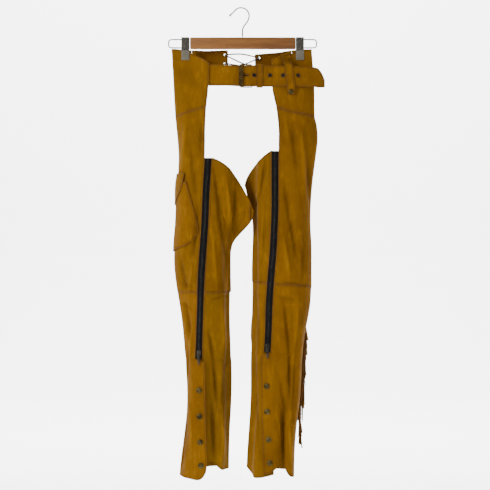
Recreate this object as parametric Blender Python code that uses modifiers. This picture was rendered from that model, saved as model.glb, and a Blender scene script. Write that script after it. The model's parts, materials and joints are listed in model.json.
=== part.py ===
"""Leather chaps, hung by the waist from a wooden clip hanger.

The frame has +Z up, the garment's front towards -Y and the wearer's left leg at +X. The origin is the
inner top of the hanger's hook, where a rail bears on it. Heights on the garment are drops below the
waist line in millimetres, and the tables of sizes are in millimetres too.
"""

import math
from bisect import bisect_right
from collections import namedtuple
from functools import lru_cache

import bmesh
import bpy
from mathutils import Matrix, Vector

# Driving dimensions, in millimetres
MM = 0.001
WAIST_Z = -98.0
WALL = 1.8
SEAM_GAP = 0.3
BACK_SEAM_GAP = 1.0
KNEE_GAP = 0.8
LAP_GAP = 0.6
ZIP_HALF = 7.5
ZIP_GAP = 0.9
PLACKET_LAP = 15.0
PLACKET_UNDERLAP = 9.0
PLACKET_LIFT = WALL + LAP_GAP + 0.9
POCKET_GAP = 1.3
FRINGE_GAP = 1.2
BACK_YOKE_U = -1.36

BELT_THICK = 2.0
BELT_HOLE_X = (32.8, 71.0, 103.2, 140.0)
BELT_HOLE_DROP = 69.0
BELT_HOLE_RADIUS = 2.6
PRONG_SLOT = (13.0, 9.0, 5.5)

SNAP_RADIUS = 7.5
SNAP_HEIGHT = 2.6
SNAP_LIFT = 0.8
EYELET_RADIUS = 3.6
EYELET_WIRE = 0.9
LACE_RADIUS = 1.4
LACE_HOLE_RADIUS = 2.8

FRINGE_TOP = 440.0
FRINGE_END = 920.0
FRINGE_STRIP = 12.0
STRAND_PITCH = 14.0
STRAND_LENGTH = 88.0
STRAND_SPREAD = 12.0
STRAND_SIZE = (4.5, 1.4)
STRAND_RISE = 0.2

BAR_ENDS = (-125.7, 134.5)
BAR_TOP, BAR_BOTTOM = -71.8, -101.2
BAR_THICK = 12.0
WIRE_RADIUS = 1.4
LOOP_TOP, LOOP_BOTTOM = -77.2, -97.8
LOOP_ENDS = (-178.4, 186.0)
LOOP_CORNER = 7.0
HOOK_RADIUS = 20.2
STEM_X = 3.7
CLIP_HALF = 10.0
CLIP_BOTTOM = -128.0
CLIP_TOP = -71.4
JAW_INNER = 3.3
JAW_OUTER = 4.6
PINCH = 3.0

# A section of one leg: where its outline, shoulder ridge, zip line, inner ridge and inner edge lie in X,
# how far its front and back stand from Y = 0, and where its back seam lies.
Row = namedtuple("Row", "drop outer shoulder zip ridge wing wing_y front back seam")
# A fold runs between two places on a leg. Its half width and depth are in millimetres, valleys negative.
Fold = namedtuple("Fold", "u_top drop_top u_end drop_end half_width depth")

RIGHT_ROWS = (
    Row(0, -171, -158, -68, -30, 10, 4, 18, 24, -140),
    Row(100, -166, -152, -72, -30, 10, 4, 20, 28, -138),
    Row(170, -162, -146, -79, -34, 12, 2, 30, 36, -134),
    Row(270, -153, -143, -80, -24, 25, -16, 46, 50, -128),
    Row(350, -158, -144, -85, -21, 31, -34, 54, 58, -126),
    Row(407, -158, -145, -87, -21, 31, -34, 56, 60, -126),
    Row(426, -160, -146, -88, -21, 24, -34, 56, 60, -126),
    Row(450, -161, -147, -89, -25, 2, -22, 56, 60, -126),
    Row(476, -164, -148, -91, -38, -22, -4, 56, 60, -126),
    Row(541, -165, -148, -96, -42, -26, 0, 52, 56, -126),
    Row(600, -157, -128, -99, -42, -25, 0, 48, 52, -124),
    Row(660, -147, -118, -101, -42, -26, 0, 46, 48, -120),
    Row(755, -138, -122, -103, -40, -23, 0, 44, 46, -117),
    Row(865, -132, -123, -101, -40, -23, 0, 44, 46, -114),
    Row(930, -137, -128, -100, -42, -27, 0, 46, 48, -117),
    Row(1002, -147, -134, -98, -44, -29, 0, 48, 50, -120),
    Row(1061, -153, -138, -97, -45, -29, 0, 50, 52, -122),
)
LEFT_ROWS = (
    Row(0, 174, 160, 66, 30, -8, 4, 18, 24, 142),
    Row(100, 181, 164, 68, 30, -8, 4, 20, 28, 144),
    Row(170, 182, 158, 83, 44, -6, 4, 30, 36, 142),
    Row(208, 191, 151, 84, 48, 0, 6, 38, 42, 140),
    Row(280, 183, 152, 83, 46, 4, 10, 48, 52, 138),
    Row(350, 174, 160, 83, 41, 11, 14, 54, 58, 136),
    Row(407, 171, 156, 83, 43, 26, 14, 56, 60, 136),
    Row(440, 171, 154, 81, 43, 29, 8, 56, 60, 137),
    Row(476, 174, 156, 80, 44, 29, 2, 56, 60, 138),
    Row(541, 174, 158, 75, 44, 27, 0, 52, 56, 141),
    Row(600, 174, 158, 70, 44, 27, 0, 48, 52, 143),
    Row(644, 171, 156, 68, 42, 26, 0, 46, 50, 145),
    Row(693, 159, 150, 67, 42, 24, 0, 45, 48, 145),
    Row(755, 152, 144, 64, 41, 24, 0, 44, 46, 143),
    Row(865, 146, 138, 64, 41, 24, 0, 44, 46, 137),
    Row(930, 137, 130, 66, 38, 20, 0, 46, 48, 129),
    Row(1002, 132, 124, 70, 33, 15, 0, 48, 50, 124),
    Row(1061, 131, 122, 72, 31, 13, 0, 50, 52, 122),
)
RIGHT_FOLDS = (
    Fold(2.3, 300, 3.3, 541, 11, -11),
    Fold(4.0, 300, 4.0, 462, 9, -12),
    Fold(2.45, 690, 2.68, 1080, 13, -15),
    Fold(1.5, 480, 1.3, 640, 12, -4),
    Fold(7.2, 420, 7.0, 900, 14, -10),
    Fold(6.4, 640, 6.6, 1080, 11, -8),
)
LEFT_FOLDS = (
    Fold(1.67, 330, 1.3, 540, 12, -6),
    Fold(2.5, 420, 2.6, 600, 12, -6),
    Fold(1.41, 660, 1.3, 900, 9, -8),
    Fold(1.46, 850, 1.42, 1080, 11, -18),
    Fold(2.55, 640, 2.5, 900, 10, -4),
    Fold(7.2, 420, 7.1, 900, 14, -10),
    Fold(6.5, 620, 6.4, 1080, 11, -8),
)

# Edges of the panels: at each place round the leg, the drop of the edge
RIGHT_WAIST = ((-1.4, 6), (-1, 4), (0, 2.5), (1.0, 2.5), (1.3, 7), (1.91, 37))
RIGHT_HIP_SEAM = ((-1.4, 150), (-1, 165), (0, 170), (1.0, 165), (1.15, 161), (1.91, 145))
RIGHT_BAND_TOP = ((-3.2, 4), (-1.36, 6))
RIGHT_BAND_END = ((-3.2, 88), (-2.4, 97), (-1.9, 112), (-1.36, 150))
RIGHT_RIM = (
    (2.1, 271), (2.3, 272), (2.64, 285), (3.03, 302), (4.0, 322), (4.3, 345),
    (4.7, 380), (5.0, 407), (6, 402), (7, 360), (8, 300),
)
RIGHT_KNEE = ((-1, 600), (8, 600))
RIGHT_HEM = (
    (-1, 1040), (0, 1048), (1.04, 1055), (1.44, 1057), (1.85, 1062), (2.1, 1059), (2.2, 1050), (2.3, 1035),
)
RIGHT_INNER_HEM = (
    (1.7, 1015), (2.3, 1015), (2.54, 1016), (2.68, 1024), (2.87, 1034), (3.2, 1037), (5, 1035),
    (6, 1032), (7, 1036), (8, 1040),
)
LEFT_WAIST = ((-1.4, 6), (-1, 4), (0, 2.5), (1.06, 5), (1.27, 9), (1.64, 22), (1.91, 27))
LEFT_HIP_SEAM = ((-1.4, 150), (-1, 165), (0, 170), (1.1, 164), (1.56, 157), (1.92, 144.5))
LEFT_BAND_TOP = ((-3.2, 15), (-1.36, 6))
LEFT_BAND_END = ((-3.2, 88), (-2.4, 97), (-1.9, 112), (-1.36, 150))
LEFT_RIM = (
    (2.1, 252), (2.4, 256), (2.93, 275), (4.0, 290), (4.36, 302), (4.8, 325),
    (5.0, 338), (6, 342), (7, 325), (8, 300),
)
LEFT_KNEE = ((-1, 587), (0, 590), (2, 579), (3, 576), (5, 574), (7, 582), (8, 587))
LEFT_HEM = (
    (-1, 1042), (0, 1056), (1.0, 1053), (1.2, 1046), (1.3, 1024), (1.53, 1018), (1.8, 1037), (2.0, 1043),
    (2.3, 1046),
)
LEFT_INNER_HEM = (
    (1.7, 1046), (2.2, 1047), (2.4, 1055), (2.72, 1058), (3, 1055), (4, 1046), (5, 1031),
    (6, 1034), (7, 1040), (8, 1042),
)

# The pocket and its flap, on the right thigh
POCKET_TOP = 330.0
POCKET_BACK_U = -0.6
POCKET_FRONT = ((328, 1.23), (440, 1.76), (462, 1.75))
POCKET_END = ((-0.6, 498), (0, 501), (0.3, 500), (1.27, 488), (1.76, 462))
FLAP_TOP = ((-0.7, 318), (0, 312), (1.07, 305), (1.15, 310))
FLAP_END = ((-0.7, 352), (0, 388), (0.5, 376), (1.0, 352), (1.1, 328), (1.15, 316))

# Belt and buckle: X and Y of a strap's outer face, then X with the drop of its top and bottom edges
BELT_LEFT_PATH = ((-92, -15.2), (-80, -15.8), (-62, -20), (-32, -25.4), (0, -27.8), (30, -27.9), (56, -27.3))
BELT_EDGES = (
    (-92, 41, 91), (-74, 41, 92), (-7, 45, 96), (60, 44, 97), (178, 48, 97), (194, 53, 99), (206, 80, 98),
)
BUCKLE_STRAP_PATH = (
    (92, -15.2), (78, -15.8), (66, -20.5), (56, -24.2), (40, -25.1), (27, -25.1), (22.6, -23.6),
    (21.4, -20.4), (22.8, -17.0), (28, -15.9), (36, -17.6), (46, -20.4), (57, -20.4),
)
TIP_BAR = (0.3, -31.6)
HEEL_BAR = (27.0, -20.6)
BUCKLE_SIZE = (36.1, 58.0, 3.0)
BUCKLE_OPENING = (21.7, 52.4)
BUCKLE_DROP = 70.5
PRONG_ROUTE = (
    (31.3, -19.4), (31.5, -21.2), (30.4, -23.2), (27, -24.3), (20, -23.9), (16.5, -24.3), (14.5, -25.4),
    (11, -28.8), (7, -32.6), (4, -33.9), (1.5, -34.8),
)
PRONG_RADIUS = 1.3
KEEPER_X = (38.2, 53.4)
SNAP_LOOP = ((16, 109), (49, 116.6), (94.6, 122.7), (117, 122.7))
SNAP_LOOP_HALF = 10.4
SNAP_LOOP_GAP = 1.4
SNAP_LOOP_DROPS = (16, 24, 32, 38, 42, 56, 70, 84, 98, 102, 107, 112, 116)

# The lace, from one tail behind the belt to the other: X, Y and drop
LACE_ROUTE = (
    (-36, 28, 88), (-37, 28, 74), (-39, 23.5, 63), (-39, 14.5, 60), (-28, 14.5, 56), (0, 17.5, 43),
    (28, 17, 31), (44.6, 14.0, 23.5), (44.6, 23, 22.5), (34, 24.5, 20), (0, 25.5, 13),
    (-28, 24.5, 14), (-39, 22.5, 14.8), (-40, 13.8, 15.8), (-28, 14.5, 22), (0, 19.5, 35), (30, 24.5, 45),
    (43, 23, 49.5), (44, 14.0, 50.5), (30, 12.6, 48.5), (0, 12.6, 43), (-28, 13.4, 38.8),
    (-40, 14.0, 37), (-41, 23.5, 38), (-45, 27, 48), (-47, 29, 66), (-47, 29, 86),
)
LACE_EYELETS = (
    ("right", -39.5, 15.3), ("right", -40.4, 37.5), ("right", -39, 61.5), ("left", 44.6, 23), ("left", 43.6, 50),
)

# How finely the panels are divided
YOKE_COLUMNS = 17
YOKE_ROWS = 7
THIGH_ROWS = 8

SUEDE = ((0.36, 0.17, 0.025), 0.85, 0.0)
COLOURS = {
    "suede": SUEDE,
    "zip": ((0.02, 0.02, 0.018), 0.7, 0.0),
    "dark_metal": ((0.09, 0.06, 0.03), 0.4, 1.0),
    "brass": ((0.20, 0.14, 0.06), 0.35, 1.0),
    "nickel": ((0.45, 0.43, 0.40), 0.3, 1.0),
    "wood": ((0.42, 0.22, 0.10), 0.5, 0.0),
    "lace": ((0.03, 0.02, 0.015), 0.8, 0.0),
}


def clamp(value, low, high):
    return max(low, min(high, value))


def blend(start, end, share):
    return start + (end - start) * share


def smooth(low, high, value):
    share = clamp((value - low) / (high - low), 0.0, 1.0)
    return share * share * (3 - 2 * share)


def table_at(table, place, column=1):
    """Straight-line reading of a table's column at a place in its first column."""
    if place <= table[0][0]:
        return table[0][column]
    for before, after in zip(table, table[1:]):
        if place <= after[0]:
            share = (place - before[0]) / (after[0] - before[0])
            return blend(before[column], after[column], share)
    return table[-1][column]


def hermite(start, end, leave, arrive, share):
    square, cube = share * share, share ** 3
    return (
        start * (2 * cube - 3 * square + 1) + leave * (cube - 2 * square + share)
        + end * (3 * square - 2 * cube) + arrive * (cube - square)
    )


def spline_at(places, values, place):
    """Smooth reading of values given at uneven places."""
    if place <= places[0]:
        return values[0]
    if place >= places[-1]:
        return values[-1]
    index = bisect_right(places, place) - 1
    step = places[index + 1] - places[index]

    def slope(k):
        low, high = max(k - 1, 0), min(k + 1, len(places) - 1)
        return (values[high] - values[low]) / (places[high] - places[low])

    share = (place - places[index]) / step
    return hermite(values[index], values[index + 1], slope(index) * step, slope(index + 1) * step, share)


def along(points, spacing, closed=False):
    """A smooth route through points, read off at about the given spacing."""
    count = len(points)
    vectors = [Vector(point) for point in points]

    def pick(k):
        return vectors[k % count] if closed else vectors[int(clamp(k, 0, count - 1))]

    def chord(k):
        return max((pick(k + 1) - pick(k)).length, 1e-6)

    def slope(k):
        if not closed and k == 0:
            return (pick(1) - pick(0)) / chord(0)
        if not closed and k == count - 1:
            return (pick(k) - pick(k - 1)) / chord(k - 1)
        before, after = chord(k - 1), chord(k)
        return ((pick(k) - pick(k - 1)) / before * after + (pick(k + 1) - pick(k)) / after * before) / (before + after)

    route = []
    for k in range(count if closed else count - 1):
        pieces = max(1, round(chord(k) / spacing))
        for piece in range(pieces):
            route.append(
                hermite(pick(k), pick(k + 1), slope(k) * chord(k), slope(k + 1) * chord(k), piece / pieces)
            )
    if not closed:
        route.append(vectors[-1])
    return route


class Leg:
    """One leg's outer surface. u runs round it: 0 at the outer edge, 1 the shoulder ridge, 2 the zip line,
    3 the inner ridge, 4 the valley, 5 the inner edge, 6 and 7 the back and 8 the back seam."""

    STATIONS = 9

    def __init__(self, name, side, rows, folds, clip_x, zip_drops, slider_drop):
        self.name = name
        self.side = side
        self.rows = rows
        self.folds = folds
        self.clip_x = clip_x
        self.zip_top, self.zip_end = zip_drops
        self.slider_drop = slider_drop
        self.drops = [row.drop for row in rows]
        self.stations = lru_cache(maxsize=None)(self.stations)
        self.base = lru_cache(maxsize=None)(self.base)

    def size(self, column, drop):
        return spline_at(self.drops, [getattr(row, column) for row in self.rows], drop)

    def stations(self, drop):
        outer, shoulder, zip_x, ridge, wing, wing_y, front, back, seam = (
            self.size(column, drop) for column in Row._fields[1:]
        )
        width = outer - wing
        places = (
            (outer, 0), (shoulder, -0.75 * front), (zip_x, -front), (ridge, -0.8 * front),
            (blend(ridge, wing, 0.3), blend(-0.8 * front, wing_y, 0.7)), (wing, wing_y),
            (wing + 0.25 * width, 0.8 * back), (wing + 0.55 * width, back), (seam, 0.8 * back),
        )
        return [Vector(place) for place in places]

    def base(self, drop, u):
        """The surface before its folds, as X and Y. Under the clip the two walls are pressed flat."""
        points = self.stations(drop)
        u %= self.STATIONS
        index = min(int(u), self.STATIONS - 1)

        def pick(k):
            return points[k % self.STATIONS]

        def slope(k):
            before = (pick(k) - pick(k - 1)).length
            after = (pick(k + 1) - pick(k)).length
            return ((pick(k) - pick(k - 1)) / before * after + (pick(k + 1) - pick(k)) / after * before) / (
                before + after
            )

        reach = (pick(index + 1) - pick(index)).length
        place = hermite(
            pick(index), pick(index + 1), slope(index) * reach, slope(index + 1) * reach, u - index
        )
        hold = (1 - smooth(22, 50, abs(place.x - self.clip_x))) * (1 - smooth(52, 105, drop))
        place.y = blend(place.y, clamp(place.y, -PINCH, PINCH), hold)
        return place

    def outward(self, drop, u):
        step = self.base(drop, u + 0.02) - self.base(drop, u - 0.02)
        return Vector((step.y, -step.x)).normalized() * -self.side

    def fold(self, drop, u):
        here = self.base(drop, u)
        total = 0.0
        for fold in self.folds:
            share = (drop - fold.drop_top) / (fold.drop_end - fold.drop_top)
            if not -0.15 < share < 1.15:
                continue
            line = self.base(drop, blend(fold.u_top, fold.u_end, share))
            fade = smooth(-0.15, 0.12, share) * (1 - smooth(0.88, 1.15, share))
            total += fold.depth * fade * math.exp(-(((here - line).length / fold.half_width) ** 2))
        return total

    def skin(self, drop, u, lift=0.0):
        """A point on the leg's outer face, or that many millimetres out from it."""
        place = self.base(drop, u) + self.outward(drop, u) * (self.fold(drop, u) + lift)
        return Vector((place.x * MM, place.y * MM, (WAIST_Z - drop) * MM))

    def stepped(self, drop, u, distance):
        """The place that many millimetres round the leg from u."""
        pieces = max(1, math.ceil(abs(distance) / 5))
        for _ in range(pieces):
            ahead = u
            for _ in range(2):
                speed = (self.base(drop, ahead + 0.02) - self.base(drop, ahead - 0.02)).length / 0.04
                ahead = u + 0.5 * distance / pieces / speed
            u += distance / pieces / speed
        return u

    def front_u(self, drop, x):
        """The place on the front that has this X."""
        low, high = 0.0, 3.0
        for _ in range(30):
            middle = (low + high) / 2
            if (self.base(drop, middle).x - x) * self.side > 0:
                low = middle
            else:
                high = middle
        return (low + high) / 2


RIGHT = Leg("right", -1, RIGHT_ROWS, RIGHT_FOLDS, -137.0, (271.0, 762.0), 752.0)
LEFT = Leg("left", 1, LEFT_ROWS, LEFT_FOLDS, 145.0, (254.0, 746.0), 736.0)


def edge(table):
    return lambda u: table_at(table, u)


def at(value):
    return lambda _: value


def zip_side(leg, offset):
    return lambda drop: leg.stepped(drop, 2.0, offset)


def spacing(leg, drop, start, end, columns):
    """Shares of the way from start to end that crowd together where the wall turns sharply."""
    fine = 240
    weights = [0.0]
    before = None
    for k in range(fine):
        a = leg.base(drop, blend(start, end, k / fine))
        b = leg.base(drop, blend(start, end, (k + 1) / fine))
        step = b - a
        turn = abs(before.angle_signed(step)) if before else 0.0
        weights.append(weights[-1] + step.length + 20 * turn)
        before = step
    shares = []
    for column in range(columns + 1):
        target = weights[-1] * column / columns
        index = min(bisect_right(weights, target), fine) - 1
        index = clamp(index, 0, fine - 1)
        part = (target - weights[index]) / (weights[index + 1] - weights[index])
        shares.append((index + clamp(part, 0, 1)) / fine)
    return shares


def panel_grid(leg, start, end, top, bottom, columns, levels, lift, spread_drop, last):
    """Columns of points, top to bottom, between two edges given by drop and two given by place.
    levels is a count of even rows, or the drops of the rows between the top and the bottom. The columns
    are spread out at spread_drop, and last gives extra ones by their distance from the end, in order."""
    rows = levels if isinstance(levels, int) else len(levels) + 1
    middle = spread_drop or (top(start(500)) + bottom(start(500))) / 2

    def main_end(drop):
        return leg.stepped(drop, end(drop), -last[0]) if last else end(drop)

    shares = spacing(leg, middle, start(middle), main_end(middle), columns)
    grid = []
    for share, back in [(share, None) for share in shares] + [(1.0, back) for back in (*last, 0)[1:]]:
        column = []
        for row in range(rows + 1):
            drop = middle
            for _ in range(5):
                u = blend(start(drop), main_end(drop), share)
                if back is not None:
                    u = leg.stepped(drop, end(drop), -back)
                if isinstance(levels, int) or row in (0, rows):
                    drop = blend(top(u), bottom(u), row / rows)
                else:
                    drop = levels[row - 1]
            column.append(leg.skin(drop, u, lift(drop, u)))
        grid.append(column)
    return grid


def finish(obj, look):
    colour, roughness, metallic = COLOURS[look]
    material = bpy.data.materials.new(obj.name)
    material.use_nodes = True
    shader = material.node_tree.nodes["Principled BSDF"]
    shader.inputs["Base Color"].default_value = (*colour, 1)
    shader.inputs["Roughness"].default_value = roughness
    shader.inputs["Metallic"].default_value = metallic
    obj.data.materials.append(material)
    material.diffuse_color = (*colour, 1)
    if obj.name not in CHAPS.objects:
        CHAPS.objects.link(obj)
    return obj


def mesh_object(name, bm, look):
    mesh = bpy.data.meshes.new(name)
    bm.to_mesh(mesh)
    bm.free()
    mesh.shade_smooth()
    return finish(bpy.data.objects.new(name, mesh), look)


def thicken(obj, thickness):
    modifier = obj.modifiers.new("wall", "SOLIDIFY")
    modifier.thickness = thickness * MM
    modifier.offset = -1
    return obj


def sheet(name, grid, thickness, look, flip=False, closed=False):
    """A wall from columns of points. Columns that run towards +X face -Y, unless it is flipped."""
    bm = bmesh.new()
    columns = [[bm.verts.new(point) for point in column] for column in grid]
    pairs = list(zip(columns, columns[1:]))
    if closed:
        pairs.append((columns[-1], columns[0]))
    for here, there in pairs:
        for row in range(len(here) - 1):
            corners = [here[row], here[row + 1], there[row + 1], there[row]]
            bm.faces.new(corners[::-1] if flip else corners)
    return thicken(mesh_object(name, bm, look), thickness)


def no_lift(drop, u):
    return 0.0


def panel(leg, name, start, end, top, bottom, columns, levels, lift=no_lift, spread_drop=None, last=()):
    grid = panel_grid(leg, start, end, top, bottom, columns, levels, lift, spread_drop, last)
    return sheet(f"{leg.name}_{name}", grid, WALL, "suede", flip=leg.side > 0)


def cut(obj, cutters):
    """Cuts every cutter from the object, as one joined mesh."""
    bm = bmesh.new()
    for matrix, shape in cutters:
        if shape == "box":
            bmesh.ops.create_cube(bm, size=1, matrix=matrix)
        else:
            bmesh.ops.create_cone(
                bm, cap_ends=True, segments=12, radius1=1, radius2=1, depth=1, matrix=matrix
            )
    mesh = bpy.data.meshes.new(f"{obj.name}_cutter")
    bm.to_mesh(mesh)
    bm.free()
    cutter = bpy.data.objects.new(mesh.name, mesh)
    cutter.hide_render = True
    cutter.display_type = "WIRE"
    CUTTERS.objects.link(cutter)
    modifier = obj.modifiers.new("cut", "BOOLEAN")
    modifier.object = cutter


def box_at(x, y, z, width, depth, height):
    """A unit cube's place and size, in millimetres."""
    return Matrix.Translation(Vector((x, y, z)) * MM) @ Matrix.Diagonal((width * MM, depth * MM, height * MM, 1))


def drill_at(x, y, z, radius, length):
    """A unit cylinder's place and size, along Y, in millimetres."""
    turn = Matrix.Rotation(math.pi / 2, 4, "X")
    return Matrix.Translation(Vector((x, y, z)) * MM) @ turn @ Matrix.Diagonal(
        (radius * MM, radius * MM, length * MM, 1)
    )


def tube(name, route, radius, look, radii=None):
    """A round wire or cord along a route of points in millimetres."""
    curve = bpy.data.curves.new(name, "CURVE")
    curve.dimensions = "3D"
    curve.bevel_depth = radius * MM
    curve.bevel_resolution = 2
    curve.use_fill_caps = True
    spline = curve.splines.new("POLY")
    spline.points.add(len(route) - 1)
    for k, (point, place) in enumerate(zip(spline.points, route)):
        point.co = (*(Vector(place) * MM), 1)
        if radii:
            point.radius = radii[k]
    return finish(bpy.data.objects.new(name, curve), look)


def outline(name, rings, thickness, look):
    """A flat shape of the given thickness: its first ring is its edge and the others are holes."""
    curve = bpy.data.curves.new(name, "CURVE")
    curve.dimensions = "2D"
    curve.fill_mode = "BOTH"
    curve.extrude = thickness * MM / 2
    for ring in rings:
        spline = curve.splines.new("POLY")
        spline.points.add(len(ring) - 1)
        spline.use_cyclic_u = True
        for point, (x, y) in zip(spline.points, ring):
            point.co = (x * MM, y * MM, 0, 1)
    return finish(bpy.data.objects.new(name, curve), look)


def rounded_ring(width, height, radius, steps=3):
    """A rectangle with round corners, centred on the origin."""
    ring = []
    for corner, (sx, sy) in enumerate(((1, 1), (-1, 1), (-1, -1), (1, -1))):
        for step in range(steps + 1):
            angle = math.pi / 2 * (corner + step / steps)
            ring.append(
                (
                    sx * (width / 2 - radius) + radius * math.cos(angle),
                    sy * (height / 2 - radius) + radius * math.sin(angle),
                )
            )
    return ring


def facing(point, normal):
    """A frame at a point, with its Z axis along the normal and its Y axis upwards."""
    out = Vector((normal.x, normal.y, 0)).normalized()
    up = Vector((0, 0, 1))
    across = up.cross(out)
    frame = Matrix((across, up, out)).transposed().to_4x4()
    frame.translation = point
    return frame


def yoke(leg, waist, hip_seam):
    panel(
        leg, "yoke", at(BACK_YOKE_U), zip_side(leg, -ZIP_HALF - ZIP_GAP),
        edge(waist), edge(hip_seam), YOKE_COLUMNS, YOKE_ROWS, spread_drop=160,
    )


def back_band(leg, top, end, x_end):
    """The waistband from behind the clip to the laced edge at the centre back."""
    low, high = -3.6, -2.0
    for _ in range(30):
        middle = (low + high) / 2
        if (leg.base(50, middle).x - x_end) * leg.side > 0:
            high = middle
        else:
            low = middle
    start = low

    def seam(drop):
        return leg.stepped(drop, BACK_YOKE_U, -2 * SEAM_GAP)

    band = panel(leg, "back_band", at(start), seam, edge(top), edge(end), 8, YOKE_ROWS)
    holes = []
    for side, x, drop in LACE_EYELETS:
        if side != leg.name:
            continue
        y = band_y(leg, x, drop)
        holes.append((drill_at(x, y, WAIST_Z - drop, LACE_HOLE_RADIUS, 14), "drill"))
    cut(band, holes)


def band_y(leg, x, drop):
    """Where the back band's outer face lies, in millimetres."""
    low, high = -3.8, -1.4
    for _ in range(30):
        middle = (low + high) / 2
        if (leg.base(drop, middle).x - x) * leg.side > 0:
            high = middle
        else:
            low = middle
    return leg.skin(drop, low).y / MM


def thigh(leg, hip_seam, rim, knee):
    """The upper leg, in two panels whose rows meet at the back seam."""

    def seam_edge(drop):
        back_edge = blend(BACK_YOKE_U, -1.0, smooth(160, 300, drop))
        return leg.stepped(drop, back_edge, BACK_SEAM_GAP / 2)

    seam_top, seam_end = rim[-1][1], knee[-1][1]
    shared = [blend(seam_top, seam_end, row / THIGH_ROWS) for row in range(THIGH_ROWS)]
    panel(
        leg, "thigh_outer", seam_edge, zip_side(leg, -ZIP_HALF - ZIP_GAP),
        lambda u: table_at(hip_seam, u) + SEAM_GAP, edge(knee), YOKE_COLUMNS, [195, 230, 265, *shared],
        spread_drop=160,
    )
    panel(
        leg, "thigh_inner", zip_side(leg, ZIP_HALF + ZIP_GAP),
        lambda drop: leg.stepped(drop, 8.0, -BACK_SEAM_GAP / 2),
        edge(rim), edge(knee), 19, THIGH_ROWS,
    )


def placket_lift(leg):
    def lift(drop, u):
        near_zip = smooth(leg.stepped(drop, 2.0, -30), leg.stepped(drop, 2.0, -15), u)
        return PLACKET_LIFT * near_zip * smooth(leg.zip_end - 34, leg.zip_end - 3, drop)

    return lift


def shin(leg, knee, hem, inner_hem):
    turn = (leg.zip_end + 1.5, leg.zip_end + 9)
    levels = [628, 664, 700, 730, *turn, 802, 842, 882, 922, 962, 1000]

    def outer_side(drop):
        turned = clamp((drop - turn[0]) / (turn[1] - turn[0]), 0, 1)
        return leg.stepped(drop, 2.0, blend(-ZIP_HALF - ZIP_GAP, PLACKET_LAP, turned))

    def inner_side(drop):
        turned = clamp((drop - turn[0]) / (turn[1] - turn[0]), 0, 1)
        return leg.stepped(drop, 2.0, blend(ZIP_HALF + ZIP_GAP, -PLACKET_UNDERLAP, turned))

    panel(
        leg, "shin_outer", lambda drop: leg.stepped(drop, -1.0, BACK_SEAM_GAP / 2), outer_side,
        lambda u: table_at(knee, u) + KNEE_GAP, edge(hem), 10, levels, placket_lift(leg), last=(44, 30, 15),
    )
    panel(
        leg, "shin_inner", inner_side, lambda drop: leg.stepped(drop, 8.0, -BACK_SEAM_GAP / 2),
        lambda u: table_at(knee, u) + KNEE_GAP, edge(inner_hem), 15, levels,
    )


def zip_band(leg):
    """The zip's tape with its chain as a raised middle."""

    def lift(drop, u):
        middle = abs(u - 2.0) / abs(leg.stepped(drop, 2.0, ZIP_HALF) - 2.0)
        return 0.9 * (1 - smooth(0.4, 0.6, middle)) - 0.2

    grid = []
    for share in (-1.0, -0.4, 0.4, 1.0):
        column = []
        rows = 20
        for row in range(rows + 1):
            drop = blend(leg.zip_top + 1, leg.zip_end, row / rows)
            u = leg.stepped(drop, 2.0, share * ZIP_HALF)
            column.append(leg.skin(drop, u, lift(drop, u)))
        grid.append(column)
    sheet(f"{leg.name}_zip", grid, 1.6, "zip", flip=leg.side > 0)


SLIDER_SIZE = (9.5, 4.0, 19.0)
BAIL_REACH = (4.6, 3.6)
BAIL_RADIUS = 0.8
PULL_SIZE = (6.5, 1.2, 24.0)
PULL_SLOT = (3.0, 5.4)
PULL_AXIS_DROP = 1.6
PULL_AXIS_OUT = 1.35


def slider(leg):
    """The zip's slider with a wire bail, and the pull that hangs from the bail."""
    zip_face = leg.skin(leg.slider_drop, 2.0, 1.0) / MM
    width, depth, height = SLIDER_SIZE
    centre = Vector((zip_face.x, zip_face.y - 1.2 - depth / 2, zip_face.z))
    bm = bmesh.new()
    bmesh.ops.create_cube(bm, size=1, matrix=box_at(*centre, width, depth, height))
    body = mesh_object(f"{leg.name}_slider", bm, "dark_metal")
    modifier = body.modifiers.new("edges", "BEVEL")
    modifier.width = 1.2 * MM
    modifier.segments = 1
    face_y = centre.y - depth / 2
    bail = []
    for step in range(9):
        angle = math.pi * step / 8
        bail.append(
            (centre.x, face_y + 1.0 - (BAIL_REACH[1] + 1.0) * math.sin(angle), centre.z + BAIL_REACH[0] * math.cos(angle))
        )
    wire = tube(f"{leg.name}_bail", bail, BAIL_RADIUS, "dark_metal")
    join_into(body, [wire])
    axis = Vector((centre.x, face_y - PULL_AXIS_OUT, centre.z - PULL_AXIS_DROP))
    pull(leg, axis)


def pull(leg, axis):
    """A flat tab whose slot takes the bail. Its origin is on its hinge, along X."""
    width, depth, length = PULL_SIZE
    slot_width, slot_length = PULL_SLOT
    bar = 0.6
    tab = [
        (-width / 2, bar), (width / 2, bar), (width / 2 - 1.2, -length + 5), (width / 2, -length + 2),
        (width / 2 - 1.5, -length), (-width / 2 + 1.5, -length), (-width / 2, -length + 2),
        (-width / 2 + 1.2, -length + 5),
    ]
    slot = [
        (-slot_width / 2, -bar), (slot_width / 2, -bar),
        (slot_width / 2, -bar - slot_length), (-slot_width / 2, -bar - slot_length),
    ]
    loop = [(-1.2, -length + 4.4), (1.2, -length + 4.4), (1.2, -length + 2), (-1.2, -length + 2)]
    obj = outline(f"{leg.name}_pull", (tab, slot, loop), depth, "dark_metal")
    obj.rotation_euler = (math.pi / 2, 0, 0)
    obj.location = axis * MM


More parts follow.
